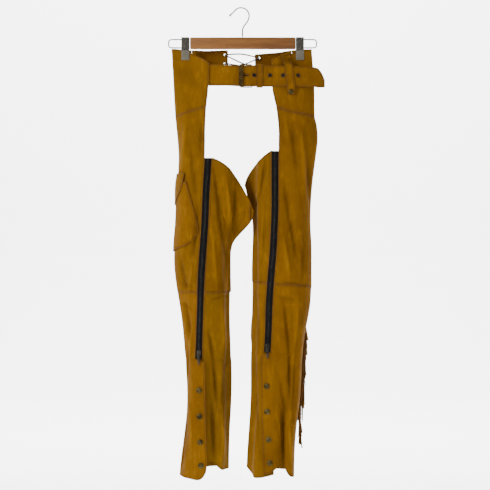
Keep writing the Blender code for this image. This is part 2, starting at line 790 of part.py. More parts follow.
def as_mesh(obj):
    """Makes a mesh of an object as it looks with its modifiers, in place of the object."""
    bpy.context.view_layer.update()
    evaluated = obj.evaluated_get(bpy.context.evaluated_depsgraph_get())
    mesh = bpy.data.meshes.new_from_object(evaluated)
    bm = bmesh.new()
    bm.from_mesh(mesh)
    bmesh.ops.remove_doubles(bm, verts=bm.verts, dist=0.00001)
    bm.to_mesh(mesh)
    bm.free()
    made = bpy.data.objects.new(obj.name, mesh)
    made.matrix_world = obj.matrix_world
    name = obj.name
    bpy.data.objects.remove(obj)
    made.name = name
    return made


def join_into(body, pieces):
    """Fuses wires and the like into a body, so that they are one solid."""
    for piece in pieces:
        helper = as_mesh(piece)
        helper.hide_render = True
        helper.display_type = "WIRE"
        CUTTERS.objects.link(helper)
        modifier = body.modifiers.new("join", "BOOLEAN")
        modifier.operation = "UNION"
        modifier.object = helper


def snap_cap(name, point, normal, radius=SNAP_RADIUS):
    """A domed press-stud cap, turned from its profile."""
    profile = [
        (0.0, SNAP_HEIGHT), (radius * 0.6, SNAP_HEIGHT * 0.85), (radius, SNAP_HEIGHT * 0.3), (radius, 0.0),
        (0.0, 0.0),
    ]
    bm = bmesh.new()
    verts = [bm.verts.new((x * MM, 0, z * MM)) for x, z in profile]
    for a, b in zip(verts, verts[1:]):
        bm.edges.new((a, b))
    obj = mesh_object(name, bm, "brass")
    modifier = obj.modifiers.new("turn", "SCREW")
    modifier.steps = modifier.render_steps = 14
    modifier.use_merge_vertices = True
    modifier.merge_threshold = 0.00001
    obj.matrix_world = facing(point, normal)
    return obj


def snaps(leg, drops):
    for number, drop in enumerate(drops, 1):
        before, after = (leg.skin(drop, leg.stepped(drop, 2.0, step), PLACKET_LIFT) for step in (-7, 7))
        across = (after - before) * leg.side
        normal = Vector((across.y, -across.x)).normalized() * -1
        point = leg.skin(drop, 2.0, PLACKET_LIFT) + Vector((normal.x, normal.y, 0)) * SNAP_LIFT * MM
        snap_cap(f"{leg.name}_snap_{number}", point, normal)


def pocket():
    leg = RIGHT
    lift = WALL + POCKET_GAP

    def front(drop):
        return table_at(POCKET_FRONT, drop)

    panel(
        leg, "pocket", at(POCKET_BACK_U), front, at(POCKET_TOP), edge(POCKET_END), 13, 6,
        lambda drop, u: lift,
    )
    panel(
        leg, "pocket_flap", at(-0.7), at(1.15), edge(FLAP_TOP), edge(FLAP_END), 12, 4,
        lambda drop, u: lift + (WALL + POCKET_GAP / 2) * smooth(304, POCKET_TOP - 6, drop),
    )


def fringe(leg, lines):
    """A strip beside the back seam, and the strands that hang from it, each clear of the one below."""

    def place(drop):
        return table_at(lines, drop)

    grid = []
    for share in (-0.5, 0.5):
        column = []
        for row in range(17):
            drop = blend(FRINGE_TOP - 4, FRINGE_END + 6, row / 16)
            u = leg.stepped(drop, place(drop), share * FRINGE_STRIP)
            column.append(leg.skin(drop, u, FRINGE_GAP + 1.6))
        grid.append(column)
    strip = sheet(f"{leg.name}_fringe", grid, 1.6, "suede", flip=leg.side > 0)
    width, depth = STRAND_SIZE
    bm = bmesh.new()
    for number in range(int((FRINGE_END - FRINGE_TOP) / STRAND_PITCH) + 1):
        root = FRINGE_TOP + number * STRAND_PITCH
        length = STRAND_LENGTH + STRAND_SPREAD * math.sin(number * 2.4)
        rings = []
        for share in (0.0, 0.12, 1.0):
            run = length * share
            drop = root + run
            u = place(min(drop, FRINGE_END + 90))
            taper = 1 - 0.25 * share
            ring = []
            for across, out in ((-0.5, -0.5), (0.5, -0.5), (0.5, 0.5), (-0.5, 0.5)):
                spot = leg.stepped(drop, u, across * width * taper)
                lift = FRINGE_GAP + 0.9 + run * STRAND_RISE + 1.8 * smooth(0, 10, run) + out * depth
                ring.append(bm.verts.new(leg.skin(drop, spot, lift)))
            rings.append(ring)
        for upper, lower in zip(rings, rings[1:]):
            for k in range(4):
                bm.faces.new((upper[k], upper[(k + 1) % 4], lower[(k + 1) % 4], lower[k]))
        bm.faces.new(rings[0][::-1])
        bm.faces.new(rings[-1])
    bmesh.ops.recalc_face_normals(bm, faces=bm.faces)
    bmesh.ops.triangulate(bm, faces=bm.faces)
    mesh = bpy.data.meshes.new(f"{leg.name}_strands")
    bm.to_mesh(mesh)
    bm.free()
    strands = bpy.data.objects.new(mesh.name, mesh)
    strands.hide_render = True
    strands.display_type = "WIRE"
    CUTTERS.objects.link(strands)
    strip.modifiers.new("triangles", "TRIANGULATE")
    modifier = strip.modifiers.new("join", "BOOLEAN")
    modifier.operation = "UNION"
    modifier.object = strands


def ribbon(name, path, edges, thickness, flip=False, rows=1):
    """A strap that stands on edge, along a path of X and Y for its outer face."""
    grid = []
    for x, y in path:
        top = WAIST_Z - table_at(edges, x, 1)
        bottom = WAIST_Z - table_at(edges, x, 2)
        grid.append([Vector((x, y, blend(top, bottom, row / rows))) * MM for row in range(rows + 1)])
    return sheet(name, grid, thickness, "suede", flip=flip)


def belt_path():
    """The belt's outer face: across the front to the left yoke, over it, and on to a free end."""
    path = [tuple(point) for point in along(BELT_LEFT_PATH, 9)]
    over = []
    for x in (80, 94, 108, 122, 136, 150):
        face = min(LEFT.skin(drop, LEFT.front_u(drop, x)).y / MM for drop in (60, 80, 100))
        over.append((x, face - LAP_GAP - BELT_THICK))
    slope = (over[-1][1] - over[-2][1]) / (over[-1][0] - over[-2][0])
    for x in (164, 178, 190, 198, 206):
        over.append((x, over[-1][1] + slope * (x - over[-1][0]) * 0.6))
    return path + over


def belt():
    path = belt_path()
    strap = ribbon("belt", path, BELT_EDGES, BELT_THICK)
    z = WAIST_Z - BELT_HOLE_DROP
    holes = [(drill_at(x, table_at(path, x), z, BELT_HOLE_RADIUS, 12), "drill") for x in BELT_HOLE_X]
    slot_x, slot_width, slot_height = PRONG_SLOT
    holes.append((box_at(slot_x, table_at(path, slot_x), z, slot_width, 12, slot_height), "box"))
    cut(strap, holes)
    for number, x in enumerate(BELT_HOLE_X, 1):
        slope = math.atan2(table_at(path, x + 5) - table_at(path, x - 5), 10)
        eyelet(f"belt_eyelet_{number}", (x, table_at(path, x) - EYELET_WIRE - 0.4, z), slope)
    return path


def eyelet(name, place, slope):
    """A metal ring round a hole, turned about Z to lie along the leather's slope there."""
    segments, sides = 10, 5
    tilt = Matrix.Rotation(slope, 3, "Z")
    bm = bmesh.new()
    rings = []
    for k in range(segments):
        turn = 2 * math.pi * k / segments
        ring = []
        for j in range(sides):
            angle = 2 * math.pi * j / sides
            radius = EYELET_RADIUS + EYELET_WIRE * 1.1 * math.cos(angle)
            spot = Vector((radius * math.cos(turn), EYELET_WIRE * math.sin(angle), radius * math.sin(turn)))
            ring.append(bm.verts.new((Vector(place) + tilt @ spot) * MM))
        rings.append(ring)
    for k in range(segments):
        for j in range(sides):
            here, there = rings[k], rings[(k + 1) % segments]
            bm.faces.new((here[j], here[(j + 1) % sides], there[(j + 1) % sides], there[j]))
    bmesh.ops.recalc_face_normals(bm, faces=bm.faces)
    mesh_object(name, bm, "brass")


def buckle(path):
    """The frame, tilted so that its tip bar is before the belt and its heel bar behind it, with its prong."""
    width, height, depth = BUCKLE_SIZE
    opening, inner_height = BUCKLE_OPENING
    tip, heel = Vector(TIP_BAR), Vector(HEEL_BAR)
    run = (heel - tip).length
    hole_left = 5.4
    frame_left = -5.4
    outer = [(x + frame_left + width / 2, y) for x, y in rounded_ring(width, height, 6)]
    inner = [(x + hole_left + opening / 2, y) for x, y in rounded_ring(opening, inner_height, 2)]
    plate = outline("buckle", (outer, inner), depth, "dark_metal")
    tilt = math.atan2(heel.y - tip.y, heel.x - tip.x)
    turn = Matrix.Rotation(tilt, 4, "Z") @ Matrix.Rotation(math.pi / 2, 4, "X")
    plate.matrix_world = Matrix.Translation(Vector((tip.x, tip.y, WAIST_Z - BUCKLE_DROP)) * MM) @ turn
    assert run < width
    strap_edges = ((20, 46, 95), (60, 45, 95), (92, 43, 94))
    strap_path = [tuple(point) for point in along(BUCKLE_STRAP_PATH, 5)]
    strap = ribbon("buckle_strap", strap_path, strap_edges, 1.8, flip=True)
    z = WAIST_Z - BELT_HOLE_DROP
    cut(strap, [(box_at(26.5, -24.6, z, 16, 6.6, 5.5), "box")])
    route = [(x, y, z) for x, y in along(PRONG_ROUTE, 4)]
    tube("prong", route, PRONG_RADIUS, "dark_metal")
    keeper(path)


def keeper(path):
    """The loop round the belt and the strap behind it."""
    front = min(table_at(path, x) for x in KEEPER_X) - SEAM_GAP - WALL
    back = -16.4
    top = WAIST_Z - 44 + SEAM_GAP + WALL
    bottom = WAIST_Z - 97 - SEAM_GAP - WALL
    ring = rounded_ring(back - front, top - bottom, 2.4, steps=2)
    middle_y, middle_z = (front + back) / 2, (top + bottom) / 2
    grid = []
    for y, z in ring:
        grid.append([Vector((x, middle_y + y, middle_z + z)) * MM for x in KEEPER_X])
    sheet("keeper", grid, WALL, "suede", flip=True, closed=True)


def snap_loop(path):
    """The short strap from the left yoke's top over the belt, and its snap."""
    grid = []
    for share in (-1.0, -0.5, 0.0, 0.5, 1.0):
        column = []
        for drop in SNAP_LOOP_DROPS:
            x = table_at(SNAP_LOOP, drop) + share * SNAP_LOOP_HALF * (1 if drop < 110 else 0.8)
            gap = SNAP_LOOP_GAP + 2.4 * (1 - smooth(30, 60, drop))
            under = LEFT.skin(drop, LEFT.front_u(drop, x)).y / MM - gap
            over = min(table_at(path, x), under - BELT_THICK) - LAP_GAP
            on_belt = smooth(34, 42, drop) * (1 - smooth(98, 107, drop))
            column.append(Vector((x, blend(under, over, on_belt) - WALL, WAIST_Z - drop)) * MM)
        grid.append(column)
    sheet("snap_loop", grid, WALL, "suede")
    drop = 109.0
    x = table_at(SNAP_LOOP, drop)
    y = LEFT.skin(drop, LEFT.front_u(drop, x)).y / MM - SNAP_LOOP_GAP - WALL
    snap_cap("snap_loop_snap", Vector((x, y - 1.0, WAIST_Z - drop)) * MM, Vector((0, -1)), 6.5)


def lacing():
    for number, (side, x, drop) in enumerate(LACE_EYELETS, 1):
        leg = RIGHT if side == "right" else LEFT
        inner = band_y(leg, x, drop) - WALL - SEAM_GAP - EYELET_WIRE
        slope = math.atan2(band_y(leg, x + 4, drop) - band_y(leg, x - 4, drop), 8)
        eyelet(f"lace_eyelet_{number}", (x, inner, WAIST_Z - drop), slope)
    route = [(x, y, WAIST_Z - drop) for x, y, drop in along(LACE_ROUTE, 9)]
    tube("lace", route, LACE_RADIUS, "lace")


def hanger():
    left, right = BAR_ENDS
    bm = bmesh.new()
    bmesh.ops.create_cube(
        bm, size=1,
        matrix=box_at((left + right) / 2, 0, (BAR_TOP + BAR_BOTTOM) / 2, right - left, BAR_THICK, BAR_TOP - BAR_BOTTOM),
    )
    bar = mesh_object("hanger_bar", bm, "wood")
    modifier = bar.modifiers.new("edges", "BEVEL")
    modifier.width = 3 * MM
    modifier.segments = 2
    for name, inner, outer in (("right", left, LOOP_ENDS[0]), ("left", right, LOOP_ENDS[1])):
        wire_loop(f"hanger_wire_{name}", inner, outer)
    hook()
    for leg in (RIGHT, LEFT):
        clip(leg)


def wire_loop(name, inner, outer):
    """A U of wire beyond the end of the bar, with round corners."""
    side = 1 if outer > inner else -1
    start = inner + side * SEAM_GAP
    turn_x = outer - side * LOOP_CORNER
    route = [(start, LOOP_TOP)]
    for step in range(5):
        angle = math.pi / 2 * step / 4
        route.append((turn_x + side * LOOP_CORNER * math.sin(angle), LOOP_TOP - LOOP_CORNER * (1 - math.cos(angle))))
    for step in range(5):
        angle = math.pi / 2 * step / 4
        route.append(
            (turn_x + side * LOOP_CORNER * math.cos(angle), LOOP_BOTTOM + LOOP_CORNER * (1 - math.sin(angle)))
        )
    route.append((start, LOOP_BOTTOM))
    tube(name, [(x, 0, z) for x, z in route], WIRE_RADIUS, "nickel")


def hook():
    """The stem, a round crown whose inner top is the origin, and a ball tip."""
    centre_z = WIRE_RADIUS - HOOK_RADIUS
    route = [(STEM_X, BAR_TOP + SEAM_GAP), (STEM_X, -62), (STEM_X, -52), (8.4, -42.5), (14.6, -35)]
    for degrees in range(-22, 156, 16):
        angle = math.radians(degrees)
        route.append((HOOK_RADIUS * math.cos(angle), centre_z + HOOK_RADIUS * math.sin(angle)))
    route += [(-22.6, -13.0), (-26.4, -17.2)]
    smooth_route = along(route, 5)
    radii = [1.0] * len(smooth_route)
    smooth_route += [Vector((-27.4, -18.3)), Vector((-28.2, -19.1)), Vector((-28.7, -19.6))]
    radii[-1] = 1.4
    radii += [1.6, 1.2, 0.4]
    tube("hook", [(x, 0, z) for x, z in smooth_route], WIRE_RADIUS, "nickel", radii)


def clip(leg):
    """A sheet metal clip that hangs on the wires and grips the waist between its jaws."""
    seat = LOOP_TOP + WIRE_RADIUS + SEAM_GAP
    half = [
        (JAW_OUTER + 0.6, CLIP_BOTTOM), (JAW_OUTER, CLIP_BOTTOM + 8), (JAW_OUTER, -104), (JAW_OUTER + 1, -98),
        (JAW_OUTER + 1, CLIP_TOP - 4), (JAW_OUTER - 0.6, CLIP_TOP),
    ]
    inner = [(1.8, seat), (JAW_INNER, seat - 1.5), (JAW_INNER, CLIP_BOTTOM)]
    ring = [(-y, z) for y, z in half] + half[::-1] + inner[::-1] + [(-y, z) for y, z in inner]
    obj = outline(f"clip_{leg.name}", (ring,), 2 * CLIP_HALF, "nickel")
    turn = Matrix(((0, 0, 1), (1, 0, 0), (0, 1, 0))).to_4x4()
    obj.matrix_world = Matrix.Translation(Vector((leg.clip_x, 0, 0)) * MM) @ turn


def chaps():
    yoke(RIGHT, RIGHT_WAIST, RIGHT_HIP_SEAM)
    yoke(LEFT, LEFT_WAIST, LEFT_HIP_SEAM)
    back_band(RIGHT, RIGHT_BAND_TOP, RIGHT_BAND_END, -32.0)
    back_band(LEFT, LEFT_BAND_TOP, LEFT_BAND_END, 34.5)
    thigh(RIGHT, RIGHT_HIP_SEAM, RIGHT_RIM, RIGHT_KNEE)
    thigh(LEFT, LEFT_HIP_SEAM, LEFT_RIM, LEFT_KNEE)
    shin(RIGHT, RIGHT_KNEE, RIGHT_HEM, RIGHT_INNER_HEM)
    shin(LEFT, LEFT_KNEE, LEFT_HEM, LEFT_INNER_HEM)
    for leg in (RIGHT, LEFT):
        zip_band(leg)
        slider(leg)
    snaps(RIGHT, (840, 904, 967, 1024))
    snaps(LEFT, (830, 892.5, 960.5, 1017.5))
    pocket()
    fringe(RIGHT, ((440, -0.9), (1010, -0.9)))
    fringe(LEFT, ((440, -0.95), (630, -0.95), (740, -0.55), (1010, -0.5)))
    path = belt()
    buckle(path)
    snap_loop(path)
    lacing()
    hanger()


for old in list(bpy.data.objects):
    bpy.data.objects.remove(old)
CHAPS = bpy.data.collections.new("leather_chaps")
CUTTERS = bpy.data.collections.new("cutters")
CUTTERS.hide_render = True
for group in (CHAPS, CUTTERS):
    bpy.context.scene.collection.children.link(group)
chaps()
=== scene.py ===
# %% [markdown]
# # Leather chaps on a clip hanger
#
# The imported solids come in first. They are already at real size and in place, so this script gives
# them their looks. The leather walls are replaced by finer shells with creases and stitching, and the
# metal parts by rounder ones. +Z is up, the front faces -Y, and the wearer's left leg is at +X.

import json
import math
import random
from collections import defaultdict, namedtuple

import bmesh
import bpy
import numpy as np
from mathutils import Matrix, Vector
from mathutils.bvhtree import BVHTree
from mathutils.kdtree import KDTree


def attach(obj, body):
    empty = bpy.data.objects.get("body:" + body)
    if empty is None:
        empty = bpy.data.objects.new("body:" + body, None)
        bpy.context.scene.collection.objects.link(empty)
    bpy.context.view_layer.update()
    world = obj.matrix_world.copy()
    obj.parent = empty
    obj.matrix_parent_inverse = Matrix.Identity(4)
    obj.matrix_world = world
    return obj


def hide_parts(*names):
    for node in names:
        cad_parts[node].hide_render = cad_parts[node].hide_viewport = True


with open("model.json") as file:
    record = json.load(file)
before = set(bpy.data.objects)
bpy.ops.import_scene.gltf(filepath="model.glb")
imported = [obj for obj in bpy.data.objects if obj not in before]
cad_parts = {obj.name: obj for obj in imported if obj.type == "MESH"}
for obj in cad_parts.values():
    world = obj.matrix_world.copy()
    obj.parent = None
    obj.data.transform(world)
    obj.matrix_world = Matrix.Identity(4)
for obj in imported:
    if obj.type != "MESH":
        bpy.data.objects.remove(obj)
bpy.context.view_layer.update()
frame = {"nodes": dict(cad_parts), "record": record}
NODES = frame["nodes"]
MM = 0.001
print(len(NODES), "solids in the frame")

# %% [markdown]
# Places are easiest to read off a front view, so the tables below use its pixels. One pixel of that
# view is 2.45 mm on the garment. The view's column 241 is the hook's crown, and its row 47 is the waist.

# %% Front view to metres
PIXEL = 2.45 * MM
MIDDLE_COLUMN = 241.0
WAIST_ROW = 47.0
WAIST_Z = -0.098


def front_x(column):
    return (column - MIDDLE_COLUMN) * PIXEL


def front_z(row):
    return WAIST_Z - (row - WAIST_ROW) * PIXEL


def soft_step(low, high, value):
    share = np.clip((value - low) / (high - low), 0.0, 1.0)
    return share * share * (3 - 2 * share)


# %% [markdown]
# The camera looks level at the middle of the garment from six metres away with a long lens, so that the
# legs keep their true proportions.

# %% Camera
CAMERA_DISTANCE = 6.0
VIEW_PIXELS = 490
camera_data = bpy.data.cameras.new("camera")
camera_data.lens = 36 * CAMERA_DISTANCE / (VIEW_PIXELS * PIXEL)
camera = bpy.data.objects.new("camera", camera_data)
camera.location = (front_x(245), -0.03 - CAMERA_DISTANCE, front_z(245))
camera.rotation_euler = (math.pi / 2, 0, 0)
bpy.context.scene.collection.objects.link(camera)
bpy.context.scene.camera = camera
print("lens", round(camera_data.lens), "mm")

# %% [markdown]
# A material here is a small graph of noise and masks. Writing the graph as Python expressions keeps it
# short: a wrapped socket adds a Math node whenever it is used in a sum or a product.

# %% Shader helpers


class Value:
    """A number that varies over a surface."""

    def __init__(self, look, socket):
        self.look = look
        self.socket = socket

    def math(self, operation, first, second):
        inputs = {0: first, 1: second}
        return Value(self.look, self.look.node("ShaderNodeMath", {"operation": operation}, inputs))

    def __add__(self, other):
        return self.math("ADD", self, other)

    def __sub__(self, other):
        return self.math("SUBTRACT", self, other)

    def __rsub__(self, other):
        return self.math("SUBTRACT", other, self)

    def __mul__(self, other):
        return self.math("MULTIPLY", self, other)

    __radd__ = __add__
    __rmul__ = __mul__

    def step(self, low, high):
        """0 below low and 1 above high, or the other way round when low is the larger."""
        settings = {"interpolation_type": "SMOOTHSTEP"}
        inputs = {"Value": self, "From Min": low, "From Max": high}
        return Value(self.look, self.look.node("ShaderNodeMapRange", settings, inputs))


class Look:
    """A material on one Principled shader."""

    def __init__(self, name, roughness, metallic=0.0, **constants):
        self.material = bpy.data.materials.new(name)
        self.material.use_nodes = True
        self.tree = self.material.node_tree
        self.shader = self.tree.nodes["Principled BSDF"]
        self.set("Roughness", roughness)
        self.set("Metallic", metallic)
        for socket, value in constants.items():
            self.set(socket.replace("_", " "), value)
        self.place = self.node("ShaderNodeTexCoord", {}, {}, "Object")

    def set(self, socket, value):
        self.join(self.shader.inputs[socket], value)

    def join(self, socket, value):
        if isinstance(value, Value):
            value = value.socket
        if isinstance(value, bpy.types.NodeSocket):
            self.tree.links.new(value, socket)
        else:
            socket.default_value = value

    def node(self, kind, settings, inputs, output=0):
        made = self.tree.nodes.new(kind)
        for name, value in settings.items():
            setattr(made, name, value)
        for name, value in inputs.items():
            self.join(made.inputs[name], value)
        return made.outputs[output]

    def noise(self, scale, detail=2.0, stretch=(1, 1, 1)):
        place = self.node("ShaderNodeMapping", {}, {"Vector": self.place, "Scale": stretch})
        inputs = {"Vector": place, "Scale": scale, "Detail": detail, "Roughness": 0.6}
        return Value(self, self.node("ShaderNodeTexNoise", {}, inputs))

    def attribute(self, name):
        return Value(self, self.node("ShaderNodeAttribute", {"attribute_name": name}, {}, "Fac"))

    def mix(self, share, first, second):
        inputs = {"Factor": share, 6: first, 7: second}
        return self.node("ShaderNodeMix", {"data_type": "RGBA"}, inputs, 2)

    def bump(self, height, distance):
        inputs = {"Height": height, "Distance": distance, "Strength": 1.0}
        self.set("Normal", self.node("ShaderNodeBump", {}, inputs))


def rgb(red, green, blue):
    """A colour given as a screen shows it, from 0 to 255, in the linear form that shaders use."""
    return (*(((part / 255 + 0.055) / 1.055) ** 2.4 for part in (red, green, blue)), 1.0)


# %% [markdown]
# Suede is leather split and brushed to a nap. It scatters light, so it is rough with a little sheen. Its
# dye takes unevenly: broad cloudy patches, finer mottling and a grain of fibres. Four numbers stored on
# each shell guide the rest. rim_mm is how far a point is from the panel's cut edge, which shows the brown
# middle of the hide, and the stitched line near it sinks a little. inside is 1 on the side that faces the
# leg, and that side gets painted shade. fold_mm is the height of the folds: their bottoms get painted
# shade and their tops a painted highlight. olive is the tint of the panel's hide.

# %% Suede
SUEDE_DEEP = rgb(52, 30, 3)
SUEDE_DARK = rgb(96, 61, 4)
SUEDE_MIDDLE = rgb(126, 84, 6)
SUEDE_LIGHT = rgb(156, 108, 14)
SUEDE_OLIVE = rgb(104, 76, 5)
FLESH = rgb(74, 46, 34)
PANEL_EDGE_MM = 1.1
STRAND_EDGE_MM = 0.12


def suede(name, edge_mm):
    look = Look(
        name, 0.95, Specular_IOR_Level=0.12, Sheen_Weight=0.03, Sheen_Roughness=0.5, Sheen_Tint=SUEDE_LIGHT
    )
    clouds = look.noise(7, 3).step(0.3, 0.7)
    patches = look.noise(34, 4, (1, 1, 0.6)).step(0.3, 0.72)
    rubbed = look.noise(120, 3, (1, 1, 0.25)).step(0.35, 0.7)
    nap = look.noise(900, 2)
    fibres = look.noise(300, 3, (1, 1, 0.5))
    rim = look.attribute("rim_mm")
    inside = look.attribute("inside")
    fold = look.attribute("fold_mm")
    colour = look.mix(clouds * 0.45 + patches * 0.35 + rubbed * 0.2, SUEDE_DARK, SUEDE_MIDDLE)
    colour = look.mix(look.attribute("olive"), colour, SUEDE_OLIVE)
    colour = look.mix((patches * rubbed).step(0.25, 0.9) * 0.2, colour, SUEDE_LIGHT)
    grain = (nap * 0.6 + fibres * 0.6).step(0.4, 0.8)
    colour = look.mix((1 - grain) * 0.3, colour, SUEDE_DARK)
    # Painted shade in the bottoms of the folds, and a painted highlight on their tops.
    colour = look.mix(fold.step(0.5, -5.0) * 0.35, colour, SUEDE_DEEP)
    colour = look.mix(fold.step(0.5, 5.0) * 0.3, colour, SUEDE_LIGHT)
    stitched = rim.step(1.6, 2.8) * rim.step(4.4, 3.2)
    colour = look.mix(stitched * 0.4, colour, SUEDE_DEEP)
    colour = look.mix(rim.step(edge_mm, edge_mm * 0.3) * 0.7, colour, FLESH)
    # Painted shade on the inner side, which is the same suede as the outer side.
    colour = look.mix(inside * 0.45, colour, SUEDE_DARK)
    look.set("Base Color", colour)
    look.bump(nap * 0.25 + fibres * 0.35 + patches * 0.4 - stitched * 0.9, 0.0006)
    return look.material


suede_leather = suede("mustard suede", PANEL_EDGE_MM)
strand_leather = suede("mustard strands", STRAND_EDGE_MM)
print("suede ready")

# %% [markdown]
# The rest of the finishes are plain workshop ones: waxed thread, woven zip tape, antique brass that has
# darkened in its hollows, painted clips, nickel wire and varnished wood.

# %% Other finishes
JAW_Z = (-0.1035, -0.1045)


def worn_metal(name, dark, bright, roughness, metallic=1.0):
    look = Look(name, roughness, metallic)
    wear = (look.noise(160, 4) * 0.7 + look.noise(30, 2) * 0.5).step(0.35, 0.85)
    look.set("Base Color", look.mix(wear, dark, bright))
    look.set("Roughness", wear * -0.15 + (roughness + 0.1))
    look.bump(look.noise(420, 3), 0.0002)
    return look.material


def woven(name, dark, light, threads):
    look = Look(name, 0.85, Specular_IOR_Level=0.15)
    wave = {"wave_type": "BANDS", "bands_direction": "Z"}
    across = {"wave_type": "BANDS", "bands_direction": "X"}
    inputs = {"Vector": look.place, "Scale": threads, "Distortion": 0.6}
    weft = Value(look, look.node("ShaderNodeTexWave", wave, inputs))
    warp = Value(look, look.node("ShaderNodeTexWave", across, inputs))
    weave = weft * 0.6 + warp * 0.4
    look.set("Base Color", look.mix(weave * 0.7 + look.noise(80, 2) * 0.3, dark, light))
    look.bump(weave, 0.0003)
    return look.material


def varnished_wood():
    look = Look("varnished wood", 0.5, Specular_IOR_Level=0.3, Coat_Weight=0.15, Coat_Roughness=0.25)
    rings = look.noise(26, 4, (0.12, 1, 1.6))
    pores = look.noise(300, 2, (0.05, 1, 1))
    colour = look.mix(rings.step(0.3, 0.7), rgb(98, 58, 18), rgb(134, 86, 34))
    colour = look.mix(pores.step(0.62, 0.75) * 0.4, colour, rgb(74, 40, 14))
    look.set("Base Color", colour)
    look.bump(rings * 0.5 - pores * 0.4, 0.0003)
    return look.material


def plain_thread(name, dark, light):
    look = Look(name, 0.7)
    look.set("Base Color", look.mix(look.noise(700, 2).step(0.3, 0.7), dark, light))
    look.bump(look.noise(1500, 1), 0.0001)
    return look.material


def clip_paint():
    look = Look("clip steel", 0.45, 0.35)
    height = Value(look, look.node("ShaderNodeSeparateXYZ", {}, {"Vector": look.place}, "Z"))
    jaw = height.step(*JAW_Z)
    speckle = look.noise(500, 3).step(0.4, 0.65)
    upper = look.mix(speckle, rgb(20, 19, 16), rgb(84, 78, 66))
    lower = look.mix(look.noise(60, 3), rgb(84, 80, 66), rgb(112, 108, 92))
    look.set("Base Color", look.mix(jaw, upper, lower))
    look.bump(speckle * (1 - jaw), 0.0003)
    return look.material


thread = plain_thread("waxed thread", rgb(84, 50, 4), rgb(132, 86, 14))
lace_leather = plain_thread("dark lace", rgb(22, 14, 11), rgb(48, 32, 24))
zip_tape = woven("zip tape", rgb(5, 5, 5), rgb(16, 15, 14), 420)
zip_teeth = worn_metal("zip teeth", rgb(10, 10, 9), rgb(40, 38, 35), 0.5, 0.7)
dark_metal = worn_metal("blackened metal", rgb(26, 25, 22), rgb(78, 74, 64), 0.42, 0.8)
dark_brass = worn_metal("dark brass", rgb(38, 29, 16), rgb(98, 78, 44), 0.42)
snap_brass = worn_metal("antique brass", rgb(40, 34, 18), rgb(98, 84, 48), 0.4)
nickel = worn_metal("nickel wire", rgb(46, 46, 42), rgb(88, 87, 80), 0.36)
wood = varnished_wood()
clip_steel = clip_paint()
print("finishes ready")

# %% [markdown]
# The leather is one wall of hide in many panels. Each shell starts as a copy of its solid. The copy's
# triangles are merged into quads, its cut edges are creased so that they stay crisp, and a Subdivision
# Surface rounds the rest. Straps with holes are only divided, because their edges have to stay put.

# %% Copies of the solids
SLOT_OF = {part["node"]: part["material_slot"] for part in frame["record"]["subparts"]}
MERGE_DISTANCE = 0.02 * MM
CRISP_ANGLE = 0.95
SMOOTH_ANGLE = 0.7
MESH_PARTS = {"VERT": "verts", "EDGE": "edges", "FACE": "faces"}


def pick_only(obj):
    bpy.ops.object.select_all(action="DESELECT")
    obj.select_set(True)
    bpy.context.view_layer.objects.active = obj


def select_where(obj, kind, test):
    """In Edit Mode, selects only the vertices, edges or faces that pass the test."""
    bpy.ops.mesh.select_mode(type=kind)
    bpy.ops.mesh.select_all(action="DESELECT")
    bm = bmesh.from_edit_mesh(obj.data)
    for part in getattr(bm, MESH_PARTS[kind]):
        part.select_set(test(part))
    bmesh.update_edit_mesh(obj.data)


def face_outwards():
    """Turns the faces of the active mesh to look out of it."""
    bpy.ops.object.mode_set(mode="EDIT")
    bpy.ops.mesh.select_all(action="SELECT")
    bpy.ops.mesh.normals_make_consistent(inside=False)
    bpy.ops.object.mode_set(mode="OBJECT")


def open_primitive():
    """Opens the primitive that was just added, with its place and size moved into its mesh."""
    bpy.ops.object.transform_apply()
    bpy.ops.object.mode_set(mode="EDIT")
    return bpy.context.object


def copy_of(node, name):
    obj = NODES[node].copy()
    obj.data = NODES[node].data.copy()
    obj.name = name
    obj.parent = None
    for key in list(obj.keys()):
        del obj[key]
    obj.data.materials.clear()
    bpy.context.scene.collection.objects.link(obj)
    pick_only(obj)
    bpy.ops.object.mode_set(mode="EDIT")
    bpy.ops.mesh.select_mode(type="EDGE")
    bpy.ops.mesh.select_all(action="SELECT")
    bpy.ops.mesh.remove_doubles(threshold=MERGE_DISTANCE)
    return obj


def apply(obj, kind, **settings):
    modifier = obj.modifiers.new(kind.lower(), kind)
    for name, value in settings.items():
        setattr(modifier, name, value)
    bpy.ops.object.modifier_apply(modifier=modifier.name)


def finish_piece(obj, node, material, body="chaps"):
    obj.data.materials.append(material)
    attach(obj, body)
    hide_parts(node)
    SLOT_OF[node]
    return obj


def quads_from_triangles():
    bpy.ops.mesh.tris_convert_to_quads(face_threshold=0.9, shape_threshold=1.2)


def divided(node, name, levels, rounded):
    """A finer copy of a solid. A rounded one has its sharp edges creased first."""
    obj = copy_of(node, name)
    if rounded:
        quads_from_triangles()
        bpy.ops.mesh.select_all(action="DESELECT")
        bpy.ops.mesh.edges_select_sharp(sharpness=CRISP_ANGLE)
        bpy.ops.transform.edge_crease(value=1.0)
    bpy.ops.object.mode_set(mode="OBJECT")
    kind = "CATMULL_CLARK" if rounded else "SIMPLE"
    apply(obj, "SUBSURF", subdivision_type=kind, levels=levels, render_levels=levels)
    bpy.ops.object.shade_smooth_by_angle(angle=SMOOTH_ANGLE)
    return obj


print(len(SLOT_OF), "solids have a material")

# %% [markdown]
# Creases are long soft troughs and ridges, placed where the hide folds: along the outer thigh,
# down from the inner thigh's wing, across the knee and down the shin. Each one is a line in the front
# view with a half width and a height in millimetres, negative for a trough. The hidden side has its own.
# Below the yoke's seam they are CREASE_DEPTH times as deep. They fade out beside the zips.

# %% Creases
Crease = namedtuple("Crease", "column_top row_top column_end row_end half_width height")


def crease_list(*rows):
    return [Crease(*row) for row in rows]


